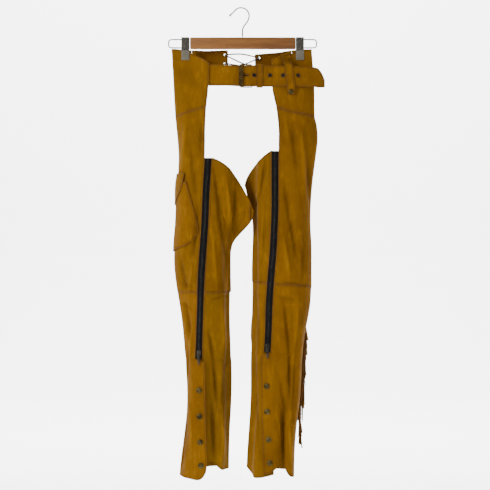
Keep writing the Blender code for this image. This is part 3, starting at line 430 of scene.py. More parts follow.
FRONT_CREASES = crease_list(
    (186, 118, 182, 165, 6, 1.8), (200, 122, 203, 158, 7, -1.6), (191, 148, 196, 200, 8, -2.0),
    (199, 205, 193, 262, 6, -2.2), (180, 258, 186, 292, 6, -2.4), (193, 258, 189, 292, 5, 1.8),
    (186, 92, 190, 112, 9, -1.5), (198, 70, 201, 100, 7, 1.4), (214, 171, 222, 215, 5, -2.2),
    (226, 178, 231, 226, 5, 1.8), (217, 200, 228, 266, 5, -2.2), (236, 190, 234, 236, 4, -2.8),
    (247, 205, 240, 226, 4, -1.0), (212, 225, 217, 285, 5, 1.6), (229, 262, 231, 288, 4, -1.6),
    (228, 262, 224, 300, 5, 1.8), (184, 300, 192, 340, 5, -2.4), (194, 318, 188, 368, 4, 2.6),
    (190, 345, 184, 390, 5, -2.8), (182, 395, 186, 450, 6, -2.2), (191, 405, 193, 465, 5, 1.8),
    (183, 440, 181, 472, 5, -2.2), (209, 330, 214, 362, 4, -2.6), (214, 362, 217, 402, 4, -3.0),
    (222, 300, 225, 360, 5, 2.0), (226, 350, 222, 420, 5, -2.2), (212, 405, 214, 455, 5, -3.2),
    (222, 420, 225, 462, 5, 2.2), (180, 283, 195, 287, 4, -1.6), (212, 299, 229, 295, 4, -1.7),
    (181, 303, 193, 309, 4, -1.3), (285, 185, 289, 215, 6, -1.8), (289, 215, 297, 258, 5, -2.2),
    (301, 130, 304, 190, 5, 2.4), (308, 160, 311, 205, 5, -3.0), (293, 125, 297, 170, 7, -1.6),
    (283, 235, 290, 280, 6, 1.8), (304, 225, 303, 280, 5, -1.8), (266, 160, 257, 205, 4, -2.8),
    (264, 200, 261, 260, 4, 1.6), (296, 70, 299, 108, 8, -1.5), (284, 110, 289, 145, 7, 1.4),
    (284, 300, 289, 345, 5, -2.2), (289, 345, 290, 400, 4, -2.6), (298, 300, 294, 350, 5, 2.0),
    (296, 355, 293, 420, 5, -2.2), (280, 380, 284, 410, 5, -1.6), (282, 410, 283, 462, 5, -3.0),
    (289, 425, 291, 465, 4, 2.2), (257, 300, 259, 350, 4, -1.6), (256, 380, 258, 440, 4, -1.8),
    (283, 281, 305, 285, 4, -1.5), (277, 296, 296, 300, 4, -1.6), (281, 306, 299, 303, 4, 1.3),
)
BACK_CREASES = crease_list(
    (186, 120, 190, 170, 7, -2.0), (198, 180, 202, 250, 7, 2.0), (212, 190, 206, 262, 6, -2.4),
    (222, 215, 218, 280, 6, 2.0), (204, 262, 214, 292, 5, -2.2), (199, 285, 224, 291, 4, -1.7),
    (197, 300, 203, 352, 6, -2.2), (214, 310, 209, 372, 5, 2.2), (203, 372, 208, 430, 6, -2.6),
    (216, 400, 212, 460, 5, 2.0), (198, 430, 201, 470, 5, -2.0), (222, 330, 220, 385, 5, -2.0),
    (302, 118, 297, 172, 7, -2.0), (286, 180, 282, 245, 7, 2.0), (272, 190, 277, 258, 6, -2.4),
    (262, 215, 266, 275, 6, 2.0), (281, 262, 271, 290, 5, -2.2), (286, 283, 262, 288, 4, -1.7),
    (287, 300, 281, 350, 6, -2.2), (268, 312, 273, 370, 5, 2.2), (280, 372, 275, 428, 6, -2.6),
    (266, 398, 270, 456, 5, 2.0), (285, 428, 282, 468, 5, -2.0), (260, 330, 262, 384, 5, -2.0),
)
LEG_MIDDLE = {-1: -0.080, 1: 0.096}
LEG_HALF_WIDTH = 0.080
LEG_HALF_DEPTH = 0.042
YOKE_SEAM_Z = -0.262
ZIP_TOP_Z = -0.33
CREASE_DEPTH = 2.1


def outward(points):
    """For each point, the level direction away from the middle of its leg."""
    middle = np.where(points[:, 0] < 0.0, LEG_MIDDLE[-1], LEG_MIDDLE[1])
    across = (points[:, 0] - middle) / LEG_HALF_WIDTH
    ways = np.stack([across, points[:, 1] / LEG_HALF_DEPTH, np.zeros(len(points))], axis=1)
    return ways / np.maximum(np.linalg.norm(ways, axis=1, keepdims=True), 1e-6)


def way_out(point, front):
    """The direction out of the leg at a point, or straight forward for a strap."""
    return Vector((0, front, 0)) if front else Vector(outward(np.array([point[:]]))[0])


def zip_line(node):
    """The heights down a zip, from the lowest, and the X of its middle at each."""
    points = np.array([vertex.co[:] for vertex in NODES[node].data.vertices])
    heights = np.linspace(points[:, 2].min(), points[:, 2].max(), 30)
    rows = [points[np.abs(points[:, 2] - z) < 0.014, 0] for z in heights]
    return heights, np.array([(row.min() + row.max()) / 2 for row in rows])


ZIP_LINES = {-1: zip_line("right_zip"), 1: zip_line("left_zip")}


def crease_height(points):
    """How far each point moves outward, in metres."""
    ways = outward(points)
    total = np.zeros(len(points))
    for side, creases in ((-1, FRONT_CREASES), (1, BACK_CREASES)):
        facing = soft_step(0.15, 0.5, ways[:, 1] * side)
        for crease in creases:
            top = np.array([front_x(crease.column_top), front_z(crease.row_top)])
            end = np.array([front_x(crease.column_end), front_z(crease.row_end)])
            run = end - top
            along = ((points[:, [0, 2]] - top) @ run) / (run @ run)
            near = top + np.clip(along, -0.3, 1.3)[:, None] * run
            away = np.linalg.norm(points[:, [0, 2]] - near, axis=1)
            ends = soft_step(-0.25, 0.4, along) * soft_step(1.25, 0.6, along)
            total += crease.height * MM * facing * ends * np.exp(-((away / (crease.half_width * MM)) ** 2))
    for side, (heights, middles) in ZIP_LINES.items():
        gap = np.abs(points[:, 0] - np.interp(points[:, 2], heights, middles))
        beside = (points[:, 0] * side > 0) & (points[:, 1] < 0) & (points[:, 2] < ZIP_TOP_Z)
        total *= np.where(beside, soft_step(0.010, 0.022, gap), 1.0)
    return total * np.where(points[:, 2] < YOKE_SEAM_Z, CREASE_DEPTH, 1.0)


def store(obj, name, values):
    """Keeps one number for each vertex, for the suede's shader to read."""
    layer = obj.data.attributes.get(name) or obj.data.attributes.new(name, "FLOAT", "POINT")
    layer.data.foreach_set("value", values)


def crease(obj):
    flat = np.zeros(len(obj.data.vertices) * 3)
    obj.data.vertices.foreach_get("co", flat)
    points = flat.reshape(-1, 3)
    height = crease_height(points)
    points += outward(points) * height[:, None]
    obj.data.vertices.foreach_set("co", points.ravel())
    obj.data.update()
    store(obj, "fold_mm", height / MM)


print(len(FRONT_CREASES), "creases in front and", len(BACK_CREASES), "behind")

# %% [markdown]
# The suede's shader needs to know the cut edges and the inner side. An edge is cut where its two faces
# meet sharply, the leather behind one of them is as deep as the panel is wide, and behind the other it is
# only as deep as the wall is thick. A point is on the inner side where it faces the middle of the leg.
# Straps don't go round a leg, so their outer side is the one that faces the front.

# %% Edges and inner sides
CUT_ANGLE = math.radians(40)
HIDE_DEPTH = 2.7 * MM
MARK_STEP = 1.2 * MM
FAR_FROM_RIM_MM = 40.0


def tree_of(obj):
    return BVHTree.FromPolygons(
        [vertex.co for vertex in obj.data.vertices], [tuple(p.vertices) for p in obj.data.polygons]
    )


def cut_edges(obj, front=0):
    """The two vertex numbers of each cut edge, with the outer face beside it if it has one."""
    bm = bmesh.new()
    bm.from_mesh(obj.data)
    bm.faces.ensure_lookup_table()
    surface = tree_of(obj)
    found = []
    for edge in bm.edges:
        if len(edge.link_faces) != 2 or edge.calc_face_angle() < CUT_ANGLE:
            continue
        sides = []
        faces = []
        middle = (edge.verts[0].co + edge.verts[1].co) / 2
        for face, mate in (edge.link_faces, reversed(edge.link_faces)):
            start = middle - mate.normal * 0.9 * MM - face.normal * 0.5 * MM
            hit = surface.ray_cast(start, -face.normal, HIDE_DEPTH)[0]
            (sides if hit is None else faces).append(face)
        if len(sides) != 1:
            continue
        outer = faces[0].normal.dot(way_out(faces[0].calc_center_median(), front)) > 0.3
        found.append((edge.verts[0].index, edge.verts[1].index, faces[0].index if outer else None))
    bm.free()
    return found


def mark(obj, edges, front=0):
    """Stores rim_mm and inside on a shell's points."""
    vertices = obj.data.vertices
    spots = []
    for first, second, _ in edges:
        start, end = vertices[first].co, vertices[second].co
        pieces = max(1, int((end - start).length / MARK_STEP))
        spots += [start.lerp(end, piece / pieces) for piece in range(pieces + 1)]
    tree = KDTree(len(spots))
    for number, spot in enumerate(spots):
        tree.insert(spot, number)
    tree.balance()
    store(obj, "rim_mm", [min(tree.find(vertex.co)[2] / MM, FAR_FROM_RIM_MM) for vertex in vertices])
    points = np.array([vertex.co[:] for vertex in vertices])
    ways = np.tile((0.0, float(front), 0.0), (len(points), 1)) if front else outward(points)
    normals = np.array([vertex.normal[:] for vertex in vertices])
    store(obj, "inside", soft_step(-0.15, -0.5, (normals * ways).sum(axis=1)))


# %% [markdown]
# Each seam is topstitched three millimetres in from the cut edge, in waxed thread, four millimetres to a
# stitch. One stitch is modelled from a cylinder and copied along every edge. The hems are left raw, as
# they are on such a garment.

# %% One stitch
STITCH_PITCH = 4.0 * MM
STITCH_LENGTH = 2.9 * MM
THREAD_RADIUS = 0.42 * MM
STITCH_INSET = 3.0
STITCH_REACH = 2.5 * MM
SHORTEST_RUN = 24 * MM
HEM_Z = -1.09


def stitch_pattern():
    bpy.ops.mesh.primitive_cylinder_add(
        vertices=6, radius=THREAD_RADIUS, depth=STITCH_LENGTH * 0.6, rotation=(0, math.pi / 2, 0)
    )
    obj = open_primitive()
    for way in (-1, 1):
        select_where(obj, "FACE", lambda face: face.normal.x * way > 0.9)
        step = (STITCH_LENGTH * 0.2 * way, 0, -THREAD_RADIUS * 0.5)
        bpy.ops.mesh.extrude_region_move(TRANSFORM_OT_translate={"value": step})
        bpy.ops.transform.resize(value=(1, 0.55, 0.55))
    bpy.ops.object.mode_set(mode="OBJECT")
    return obj


def object_of(name, points, faces):
    """A new object on its own, picked, with copies of a modelled pattern in its mesh."""
    mesh = bpy.data.meshes.new(name)
    mesh.from_pydata(points, [], faces)
    mesh.update()
    obj = bpy.data.objects.new(name, mesh)
    bpy.context.scene.collection.objects.link(obj)
    pick_only(obj)
    return obj


def scatter(name, pattern, places):
    """One mesh with a copy of the pattern at each place, which is a 4 by 4 matrix."""
    corners = np.array([vertex.co[:] for vertex in pattern.data.vertices])
    faces = [tuple(polygon.vertices) for polygon in pattern.data.polygons]
    points = []
    sides = []
    for place in places:
        turn = np.array(place)
        start = len(points)
        points += (corners @ turn[:3, :3].T + turn[:3, 3]).tolist()
        sides += [tuple(start + corner for corner in face) for face in faces]
    obj = object_of(name, points, sides)
    bpy.ops.object.shade_smooth()
    return obj


def chains(pairs):
    """Joins edges, given as pairs of vertices, into open or closed runs."""
    beside = defaultdict(list)
    for first, second in pairs:
        beside[first].append(second)
        beside[second].append(first)
    unused = {frozenset(pair) for pair in pairs}
    runs = []
    for start in sorted(beside, key=lambda vertex: (len(beside[vertex]) == 2, vertex)):
        for following in beside[start]:
            if frozenset((start, following)) not in unused:
                continue
            run = [start, following]
            unused.discard(frozenset((start, following)))
            while True:
                ahead = [v for v in beside[run[-1]] if frozenset((run[-1], v)) in unused]
                if not ahead:
                    break
                unused.discard(frozenset((run[-1], ahead[0])))
                run.append(ahead[0])
            runs.append(run)
    return runs


def long_runs(obj, edges):
    """Leaves out the odd short run of edges, where a fold is as sharp as a cut."""
    spots = [vertex.co for vertex in obj.data.vertices]
    kept = set()
    for run in chains([edge[:2] for edge in edges]):
        pairs = list(zip(run, run[1:]))
        if sum((spots[first] - spots[second]).length for first, second in pairs) > SHORTEST_RUN:
            kept.update(frozenset(pair) for pair in pairs)
    return [edge for edge in edges if frozenset(edge[:2]) in kept]


def seam_places(obj, edges, front):
    """Where the stitches lie along a shell's outer edges, above the hem."""
    surface = tree_of(obj)
    outer = [(first, second) for first, second, face in edges if face is not None]
    places = []
    for run in chains(outer):
        spots = [obj.data.vertices[vertex].co.copy() for vertex in run]
        left_over = STITCH_PITCH / 2
        for start, end in zip(spots, spots[1:]):
            length = (end - start).length
            if length < 1e-6:
                continue
            tangent = (end - start) / length
            distance = left_over
            while distance < length:
                point = start + tangent * distance
                distance += STITCH_PITCH
                place = stitch_place(surface, point, tangent, front)
                if place is not None and point.z > HEM_Z:
                    places.append(place)
            left_over = distance - length
    return places


def stitch_place(surface, point, tangent, front):
    way = way_out(point, front)
    inward = tangent.cross(way).normalized() * STITCH_INSET * MM
    best = None
    for guess in (point + inward, point - inward):
        spot, normal, _, away = surface.find_nearest(guess + way * 0.001)
        if spot is None or normal.dot(way) < 0.3:
            continue
        reach = (spot - point).length
        if reach > STITCH_INSET * MM * 0.7 and (best is None or away < best[2]):
            best = (spot, normal, away)
    if best is None or best[2] > STITCH_REACH:
        return None
    spot, normal, _ = best
    across = normal.cross(tangent).normalized()
    along = across.cross(normal)
    turn = Matrix((along, across, normal)).transposed().to_4x4()
    turn.translation = spot + normal * THREAD_RADIUS * 0.35
    return turn


pattern = stitch_pattern()
print("a stitch has", len(pattern.data.polygons), "faces")

# %% [markdown]
# Now every panel and strap is made in turn. The cut sizes are those of the pieces laid flat, and the
# area is smaller than width times length where the cut isn't a rectangle.

# %% Panels
Panel = namedtuple("Panel", "node width length area levels front rounded held olive")
PANELS = [
    Panel("right_yoke", 0.240, 0.165, 0.0221, 2, 0, True, "hung", 0.25),
    Panel("left_yoke", 0.250, 0.165, 0.0255, 2, 0, True, "hung", 0.15),
    Panel("right_back_band", 0.095, 0.145, 0.0095, 2, 0, False, "hung", 0.2),
    Panel("left_back_band", 0.095, 0.145, 0.0091, 2, 0, False, "hung", 0.35),
    Panel("right_thigh_outer", 0.190, 0.450, 0.0650, 3, 0, True, "hung", 0.25),
    Panel("right_thigh_inner", 0.250, 0.330, 0.0642, 3, 0, True, "hung", 0.2),
    Panel("left_thigh_outer", 0.210, 0.440, 0.0738, 3, 0, True, "hung", 0.1),
    Panel("left_thigh_inner", 0.235, 0.335, 0.0592, 3, 0, True, "hung", 0.3),
    Panel("right_shin_outer", 0.145, 0.460, 0.0528, 3, 0, True, "hung", 0.0),
    Panel("right_shin_inner", 0.235, 0.440, 0.0923, 3, 0, True, "hung", 0.5),
    Panel("left_shin_outer", 0.185, 0.465, 0.0739, 3, 0, True, "hung", 0.1),
    Panel("left_shin_inner", 0.245, 0.480, 0.0952, 3, 0, True, "hung", 0.3),
    Panel("right_pocket", 0.135, 0.172, 0.0194, 2, 0, True, "hung", 0.05),
    Panel("right_pocket_flap", 0.130, 0.085, 0.0055, 2, 0, True, "hung", 0.3),
    Panel("belt", 0.052, 0.300, 0.0149, 3, -1, False, "hung", 0.15),
    Panel("buckle_strap", 0.050, 0.110, 0.0053, 2, -1, False, "folded", 0.35),
    Panel("keeper", 0.0152, 0.140, 0.0021, 2, -1, False, "folded", 0.1),
    Panel("snap_loop", 0.0208, 0.100, 0.00207, 2, -1, True, "hung", 0.2),
]
shells = {}
for panel in PANELS:
    name = f"{panel.node}_leather"
    shells[panel.node] = divided(panel.node, name, panel.levels, panel.rounded)
print(len(shells), "shells")

# %% [markdown]
# The solids stand a hair apart, but sewn panels touch. So each rim moves half way to the rim beside it
# and a trifle more. The belt's hole at the buckle closes round the prong.

# %% Closed seams
SEAM_REACH = 1.7 * MM
SEAM_OVERLAP = 0.08 * MM
PRONG_HOLE = (0.0165, -0.1670)
PRONG_HOLE_RADIUS = 7.5 * MM
PRONG_HOLE_SHRINK = (0.2, 0.62)


def rim_ways(obj):
    """The level way out of the panel at each vertex of its rim."""
    centres = np.array([polygon.center[:] for polygon in obj.data.polygons])
    ways = outward(centres)
    rims = defaultdict(Vector)
    for polygon, way in zip(obj.data.polygons, ways):
        if abs(polygon.normal.dot(Vector(way))) < 0.5:
            for vertex in polygon.vertices:
                rims[vertex] += polygon.normal * polygon.area
    return {vertex: total.normalized() for vertex, total in rims.items() if total.length > 0}


def gap_ahead(spot, way, trees):
    """How far the nearest of the other panels is, or SEAM_REACH when none is near."""
    best = SEAM_REACH
    for tree in trees:
        hit, _, _, away = tree.find_nearest(spot, SEAM_REACH)
        if hit is not None and away < best and (hit - spot).dot(way) > away * 0.6:
            best = away
    return best


def seam_moves(sewn):
    """The move of each rim vertex that has another panel of the same leg beside it."""
    trees = {node: tree_of(shells[node]) for node in sewn}
    moves = {}
    for node in sewn:
        leg = node.split("_")[0]
        others = [trees[other] for other in sewn if other != node and other.startswith(leg)]
        for vertex, way in rim_ways(shells[node]).items():
            gap = gap_ahead(shells[node].data.vertices[vertex].co, way, others)
            if gap < SEAM_REACH:
                moves[node, vertex] = way * (gap / 2 + SEAM_OVERLAP)
    return moves


moves = seam_moves([panel.node for panel in PANELS if panel.front == 0 and "pocket" not in panel.node])
for (node, vertex), move in moves.items():
    shells[node].data.vertices[vertex].co += move
for vertex in shells["belt"].data.vertices:
    across = vertex.co.x - PRONG_HOLE[0]
    up = vertex.co.z - PRONG_HOLE[1]
    if math.hypot(across, up) < PRONG_HOLE_RADIUS:
        vertex.co.x -= across * PRONG_HOLE_SHRINK[0]
        vertex.co.z -= up * PRONG_HOLE_SHRINK[1]
print(len(moves), "rim points moved to close the seams")

# %% [markdown]
# One fold of the right shin ends in a small dent, where its rows of points change quickly. Hide is too
# stiff for that, so the dent is smoothed away on both sides of the wall.

# %% Smoothed dent
DENT = Vector((-0.044, -0.036, -0.865))
DENT_RADIUS = 0.021
shin = shells["right_shin_inner"]
pick_only(shin)
bpy.ops.object.mode_set(mode="EDIT")
select_where(shin, "VERT", lambda vertex: (vertex.co - DENT).length < DENT_RADIUS)
bpy.ops.mesh.vertices_smooth(factor=0.5, repeat=30)
bpy.ops.object.mode_set(mode="OBJECT")
print("dent smoothed")

# %% [markdown]
# The waistband's lower edge rises towards the laced middle, so it stays out of sight behind the belt.

# %% Waistband edge
BAND_FIXED_Z = -0.180
BAND_EDGE_Z = -0.190
BAND_COLUMN_REACH = 4 * MM
BAND_FADE_X = (0.094, 0.082)


def raise_edge(band):
    """Squeezes the band's lowest part upwards, less and less towards the hip."""
    points = np.array([vertex.co[:] for vertex in band.data.vertices])
    across = np.abs(points[:, 0])
    columns = np.linspace(across.min(), across.max(), 24)
    lows = np.array([points[np.abs(across - column) < BAND_COLUMN_REACH, 2].min() for column in columns])
    for vertex in band.data.vertices:
        low = float(np.interp(abs(vertex.co.x), columns, lows))
        if vertex.co.z < BAND_FIXED_Z and low < BAND_EDGE_Z:
            squeeze = (BAND_EDGE_Z - BAND_FIXED_Z) / (low - BAND_FIXED_Z)
            squeezed = BAND_FIXED_Z + (vertex.co.z - BAND_FIXED_Z) * squeeze
            vertex.co.z += (squeezed - vertex.co.z) * float(soft_step(*BAND_FADE_X, abs(vertex.co.x)))


for node in ("right_back_band", "left_back_band"):
    raise_edge(shells[node])
print("waistband edge raised")

# %% [markdown]
# The cut edges are found before the shell is creased, while its folds are still soft. The stitches
# follow the creased shell.

# %% Creases, marks and finish of each panel
stitches = []
for panel in PANELS:
    shell = shells[panel.node]
    edges = cut_edges(shell, panel.front)
    if panel.front == 0:
        edges = long_runs(shell, edges)
        crease(shell)
    mark(shell, edges, panel.front)
    store(shell, "olive", [panel.olive] * len(shell.data.vertices))
    stitches += seam_places(shell, edges, panel.front)
    finish_piece(shell, panel.node, suede_leather)
    print(panel.node, len(shell.data.polygons), "faces,", len(stitches), "stitches so far")

# %% [markdown]
# The stitches become one piece, which moves with the leather.

# %% Stitching
stitching = scatter("stitching", pattern, stitches)
stitching.data.materials.append(thread)
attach(stitching, "chaps")
bpy.data.objects.remove(pattern)
print(len(stitches), "stitches")

# %% [markdown]
# The fringe is one band of the same hide, sewn down beside the back seam and cut into strands seven
# millimetres apart. One long bar is modelled and divided, and each strand is a copy of it, bent along its
# own path.

# %% Fringe
STRAND_STEP = 7.0 * MM
STRAND_SIZE = (5.6 * MM, 1.3 * MM)
STRIP_SIZE = (12.0 * MM, 1.6 * MM)
FRINGE_TOP_Z = -0.540
FRINGE_END_Z = -1.016
STRIP_PIECES = 10
STRIP_LIFT = 0.2 * MM
STRIP_REACH = 3.4 * MM


def runs_along(edge, axis):
    run = edge.verts[0].co - edge.verts[1].co
    return abs(run[axis]) > 0.01 and run.length - abs(run[axis]) < 0.01


def bar_pattern():
    """A bar along Z from 0 to 1, one by one across, divided along its length and its width."""
    bpy.ops.mesh.primitive_cube_add(size=1, location=(0, 0, 0.5))
    obj = open_primitive()
    for axis, cuts in ((2, 13), (0, 1)):
        select_where(obj, "EDGE", lambda edge: runs_along(edge, axis))
        bpy.ops.mesh.subdivide(number_cuts=cuts)
    bpy.ops.object.mode_set(mode="OBJECT")
    return obj


def seam_line(side, node):
    """The strip's middle as X and Y by Z, from the points of the solid that lie nearest the leg."""
    names = [f"{side}_{part}" for part in ("thigh_outer", "thigh_inner", "shin_outer", "shin_inner")]
    legs = [tree_of(shells[name]) for name in names]
    rows = []
    for vertex in NODES[node].data.vertices:
        away = min(leg.find_nearest(vertex.co)[3] for leg in legs)
        if away < STRIP_REACH:
            rows.append(vertex.co[:])
    rows = np.array(rows)
    heights = np.linspace(FRINGE_END_Z, FRINGE_TOP_Z, 18)
    middles = [rows[np.abs(rows[:, 2] - z) < 0.02][:, :2].mean(axis=0) for z in heights]
    return heights, np.array(middles)


def bent(corners, line, root, length, size, lift, rise, twist, sway):
    """The pattern's corners bent along a path that hangs beside the leg."""
    heights, middles = line
    run = corners[:, 2] * length
    z = root - run
    x, y = np.interp(z, heights, middles[:, 0]), np.interp(z, heights, middles[:, 1])
    out = outward(np.stack([x, y, z], axis=1))
    side = np.stack([-out[:, 1], out[:, 0], np.zeros(len(z))], axis=1)
    angle = twist[0] + (twist[1] - twist[0]) * corners[:, 2]
    wide = corners[:, 0] * size[0] * (1 - 0.18 * corners[:, 2])
    thick = corners[:, 1] * size[1]
    creased = crease_height(np.stack([x, y, z], axis=1))
    away = lift + creased + rise * run + wide * np.sin(angle) + thick * np.cos(angle)
    along = wide * np.cos(angle) - thick * np.sin(angle) + sway * corners[:, 2] ** 2
    return np.stack([x, y, z], axis=1) + out * away[:, None] + side * along[:, None]


def sharp_edges(obj):
    """Every edge along which a strand was cut."""
    bm = bmesh.new()
    bm.from_mesh(obj.data)
    found = [
        (edge.verts[0].index, edge.verts[1].index, None)
        for edge in bm.edges
        if len(edge.link_faces) == 2 and edge.calc_face_angle() > CUT_ANGLE
    ]
    bm.free()
    return found


def strip_shapes(corners, line):
    """The sewn strip, as short bars that follow each other down the seam."""
    length = (FRINGE_TOP_Z - FRINGE_END_Z) / STRIP_PIECES
    shapes = []
    for piece in range(STRIP_PIECES):
        top = FRINGE_TOP_Z + (FRINGE_END_Z - FRINGE_TOP_Z) * piece / STRIP_PIECES
        shapes.append(bent(corners, line, top, length, STRIP_SIZE, STRIP_LIFT, 0, (0, 0), 0))
    return shapes


def strand_shapes(corners, line, chance):
    """The strands, each with its own length, twist, lift and sway."""
    shapes = []
    root = FRINGE_TOP_Z
    while root > FRINGE_END_Z:
        length = chance.uniform(0.066, 0.094)
        twist = chance.uniform(-0.2, 0.9)
        turn = (twist, twist + chance.uniform(0.1, 1.1))
        lift = chance.uniform(1.8, 3.6) * MM
        rise = chance.uniform(0.05, 0.13)
        sway = chance.uniform(-6, 6) * MM
        shapes.append(bent(corners, line, root, length, STRAND_SIZE, lift, rise, turn, sway))
        root -= STRAND_STEP
    return shapes


def fringe(side, bar, seed):
    node = f"{side}_fringe"
    line = seam_line(side, node)
    corners = np.array([vertex.co[:] for vertex in bar.data.vertices])
    shapes = strip_shapes(corners, line) + strand_shapes(corners, line, random.Random(seed))
    faces = []
    for start in range(0, len(shapes) * len(corners), len(corners)):
        faces += [tuple(start + corner for corner in polygon.vertices) for polygon in bar.data.polygons]
    obj = object_of(f"{node}_leather", np.concatenate(shapes).tolist(), faces)
    face_outwards()
    bpy.ops.object.shade_smooth_by_angle(angle=SMOOTH_ANGLE)
    mark(obj, sharp_edges(obj))
    for name, value in (("inside", 0.0), ("fold_mm", 0.0), ("olive", 0.2)):
        store(obj, name, [value] * len(obj.data.vertices))
    return finish_piece(obj, node, strand_leather)


bar = bar_pattern()
fringes = [fringe(side, bar, seed) for side, seed in (("right", 3), ("left", 8))]
bpy.data.objects.remove(bar)
for piece in fringes:
    leg = piece.name.split("_")[0]
print("fringe", [len(piece.data.polygons) for piece in fringes])

# %% [markdown]
# For each panel, what it would rest on is picked, the clips for a yoke and the yokes for the others, but
# nothing uses the choice.

# %% What each panel would rest on
CLIPS = ["clip_right", "clip_left"]
YOKES = ["right_yoke_leather", "left_yoke_leather"]
for panel in PANELS:
    rests = CLIPS if "yoke" in panel.node else YOKES
    shells[panel.node]
print(len(PANELS), "sheets declared")

# %% [markdown]
# A zip is a woven tape with a chain of small metal teeth. The tape is a finer copy of its solid, with its
# sides tucked under the leather. One tooth is modelled from a cube and repeated down the middle, left and
# right in turn.

# %% Zips
TOOTH_PITCH = 1.25 * MM
TOOTH_LIFT = 0.25 * MM
ZIP_END_MARGIN = 4 * MM
TAPE_TUCK = (2.4 * MM, 1.7 * MM)
TUCK_FROM = (5 * MM, 7 * MM)


def tooth_pattern():
    bpy.ops.mesh.primitive_cube_add(size=1, location=(0.9 * MM, 0, 0), scale=(3.6 * MM, 1.1 * MM, 1.5 * MM))
    obj = open_primitive()
    bpy.ops.mesh.select_all(action="SELECT")
    bpy.ops.mesh.bevel(offset=0.3 * MM, segments=1)
    bpy.ops.object.mode_set(mode="OBJECT")
    return obj


def tucked_tape(node, heights, middles):
    tape = divided(node, f"{node}_tape", 2, False)
    for vertex in tape.data.vertices:
        across = vertex.co.x - float(np.interp(vertex.co.z, heights, middles))
        share = float(soft_step(*TUCK_FROM, abs(across)))
        vertex.co.x += math.copysign(TAPE_TUCK[0] * share, across)
        vertex.co.y += TAPE_TUCK[1] * share
    return finish_piece(tape, node, zip_tape)


def tooth_place(spot, normal, way):
    """A tooth that lies on the tape and points right for a way of 1 and left for -1."""
    out = Vector((normal.x, normal.y, 0)).normalized()
    across = Vector((0, 0, 1)).cross(out) * way
    turn = Matrix((across, out, Vector((0, 0, 1)) * way)).transposed().to_4x4()
    turn.translation = spot + out * TOOTH_LIFT
    return turn


def tooth_places(tape, heights, middles):
    surface = tree_of(tape)
    places = []
    for number in range(int((heights[-1] - heights[0] - ZIP_END_MARGIN) / TOOTH_PITCH)):
        z = heights[-1] - ZIP_END_MARGIN / 2 - number * TOOTH_PITCH
        x = float(np.interp(z, heights, middles))
        spot, normal, _, _ = surface.ray_cast(Vector((x, -1, z)), Vector((0, 1, 0)))
        if spot is not None:
            places.append(tooth_place(spot, normal, 1 if number % 2 else -1))
    return places


tooth = tooth_pattern()
for side, prefix in ((-1, "right"), (1, "left")):
    node = f"{prefix}_zip"
    tape = tucked_tape(node, *ZIP_LINES[side])
    places = tooth_places(tape, *ZIP_LINES[side])
    chain = scatter(f"{prefix}_zip_teeth", tooth, places)
    chain.data.materials.append(zip_teeth)
    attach(chain, "chaps")
    print(node, len(places), "teeth")
bpy.data.objects.remove(tooth)

# %% [markdown]
# A press stud's cap is a disc with a flat rim, a rolled shoulder and a low dome. It is made once, from a
# cylinder whose top is inset and raised in steps. Each cap lies where its solid does, and faces along the
# direction in which the solid is thinnest.

# %% Snap caps and eyelets
CAP_RADIUS = 7.3 * MM
CAP_RIM = 0.8 * MM
CAP_STEPS_MM = ((0.5, 0.25), (0.7, -0.35), (0.5, 0.6), (0.9, 0.45), (1.4, 0.35), (1.6, 0.15))
LOOP_CAP_SIZE = 6.5 / 7.5


def disc_frame(node):
    """The middle of a flat round solid and its three axes, the last one facing the front."""
    points = np.array([vertex.co[:] for vertex in NODES[node].data.vertices])
    points = np.unique(np.round(points, 6), axis=0)
    middle = (points.min(axis=0) + points.max(axis=0)) / 2
    _, _, axes = np.linalg.svd(points - points.mean(axis=0))
    normal = Vector(axes[2])
    if normal.y > 0:
        normal = -normal
    across = Vector((0, 0, 1)).cross(normal).normalized()
    turn = Matrix((across, normal.cross(across), normal)).transposed().to_4x4()
    turn.translation = Vector(middle)
    depths = (points - middle) @ np.array(normal)
    return turn, float(depths.min())


def cap_pattern():
    middle = (0, 0, CAP_RIM / 2)
    bpy.ops.mesh.primitive_cylinder_add(vertices=32, radius=CAP_RADIUS, depth=CAP_RIM, location=middle)
    obj = open_primitive()
    select_where(obj, "FACE", lambda face: face.normal.z > 0.9)
    for inset, rise in CAP_STEPS_MM:
        bpy.ops.mesh.inset(thickness=inset * MM)
        bpy.ops.transform.translate(value=(0, 0, rise * MM))
    bpy.ops.object.mode_set(mode="OBJECT")
    return obj


def placed_copy(pattern, name, turn, size=1.0):
    obj = pattern.copy()
    obj.data = pattern.data.copy()
    obj.name = name
    bpy.context.scene.collection.objects.link(obj)
    obj.data.transform(turn @ Matrix.Scale(size, 4))
    obj.matrix_world = Matrix.Identity(4)
    pick_only(obj)
    bpy.ops.object.shade_smooth_by_angle(angle=0.6)
    return obj


cap = cap_pattern()
for node in sorted(NODES):
    if "snap_" not in node or node == "snap_loop":
        continue
    turn, depth = disc_frame(node)
    turn.translation += turn.to_3x3() @ Vector((0, 0, depth))
    size = LOOP_CAP_SIZE if node == "snap_loop_snap" else 1.0
    finish_piece(placed_copy(cap, f"{node}_cap", turn, size), node, snap_brass)
bpy.data.objects.remove(cap)

bpy.ops.mesh.primitive_torus_add(
    major_radius=3.6 * MM, minor_radius=0.95 * MM, major_segments=32, minor_segments=12
)
ring = bpy.context.object
for node in sorted(NODES):
    if "eyelet" in node:
        turn, _ = disc_frame(node)
        metal = dark_metal if "belt" in node else snap_brass
        finish_piece(placed_copy(ring, f"{node}_ring", turn), node, metal)
bpy.data.objects.remove(ring)
print("caps and eyelets made")

# %% [markdown]
# A small patch of hide behind the belt keeps the prong's hole from tearing, and closes the view through
# it. It is a grid pressed against the belt's back and given a thickness.

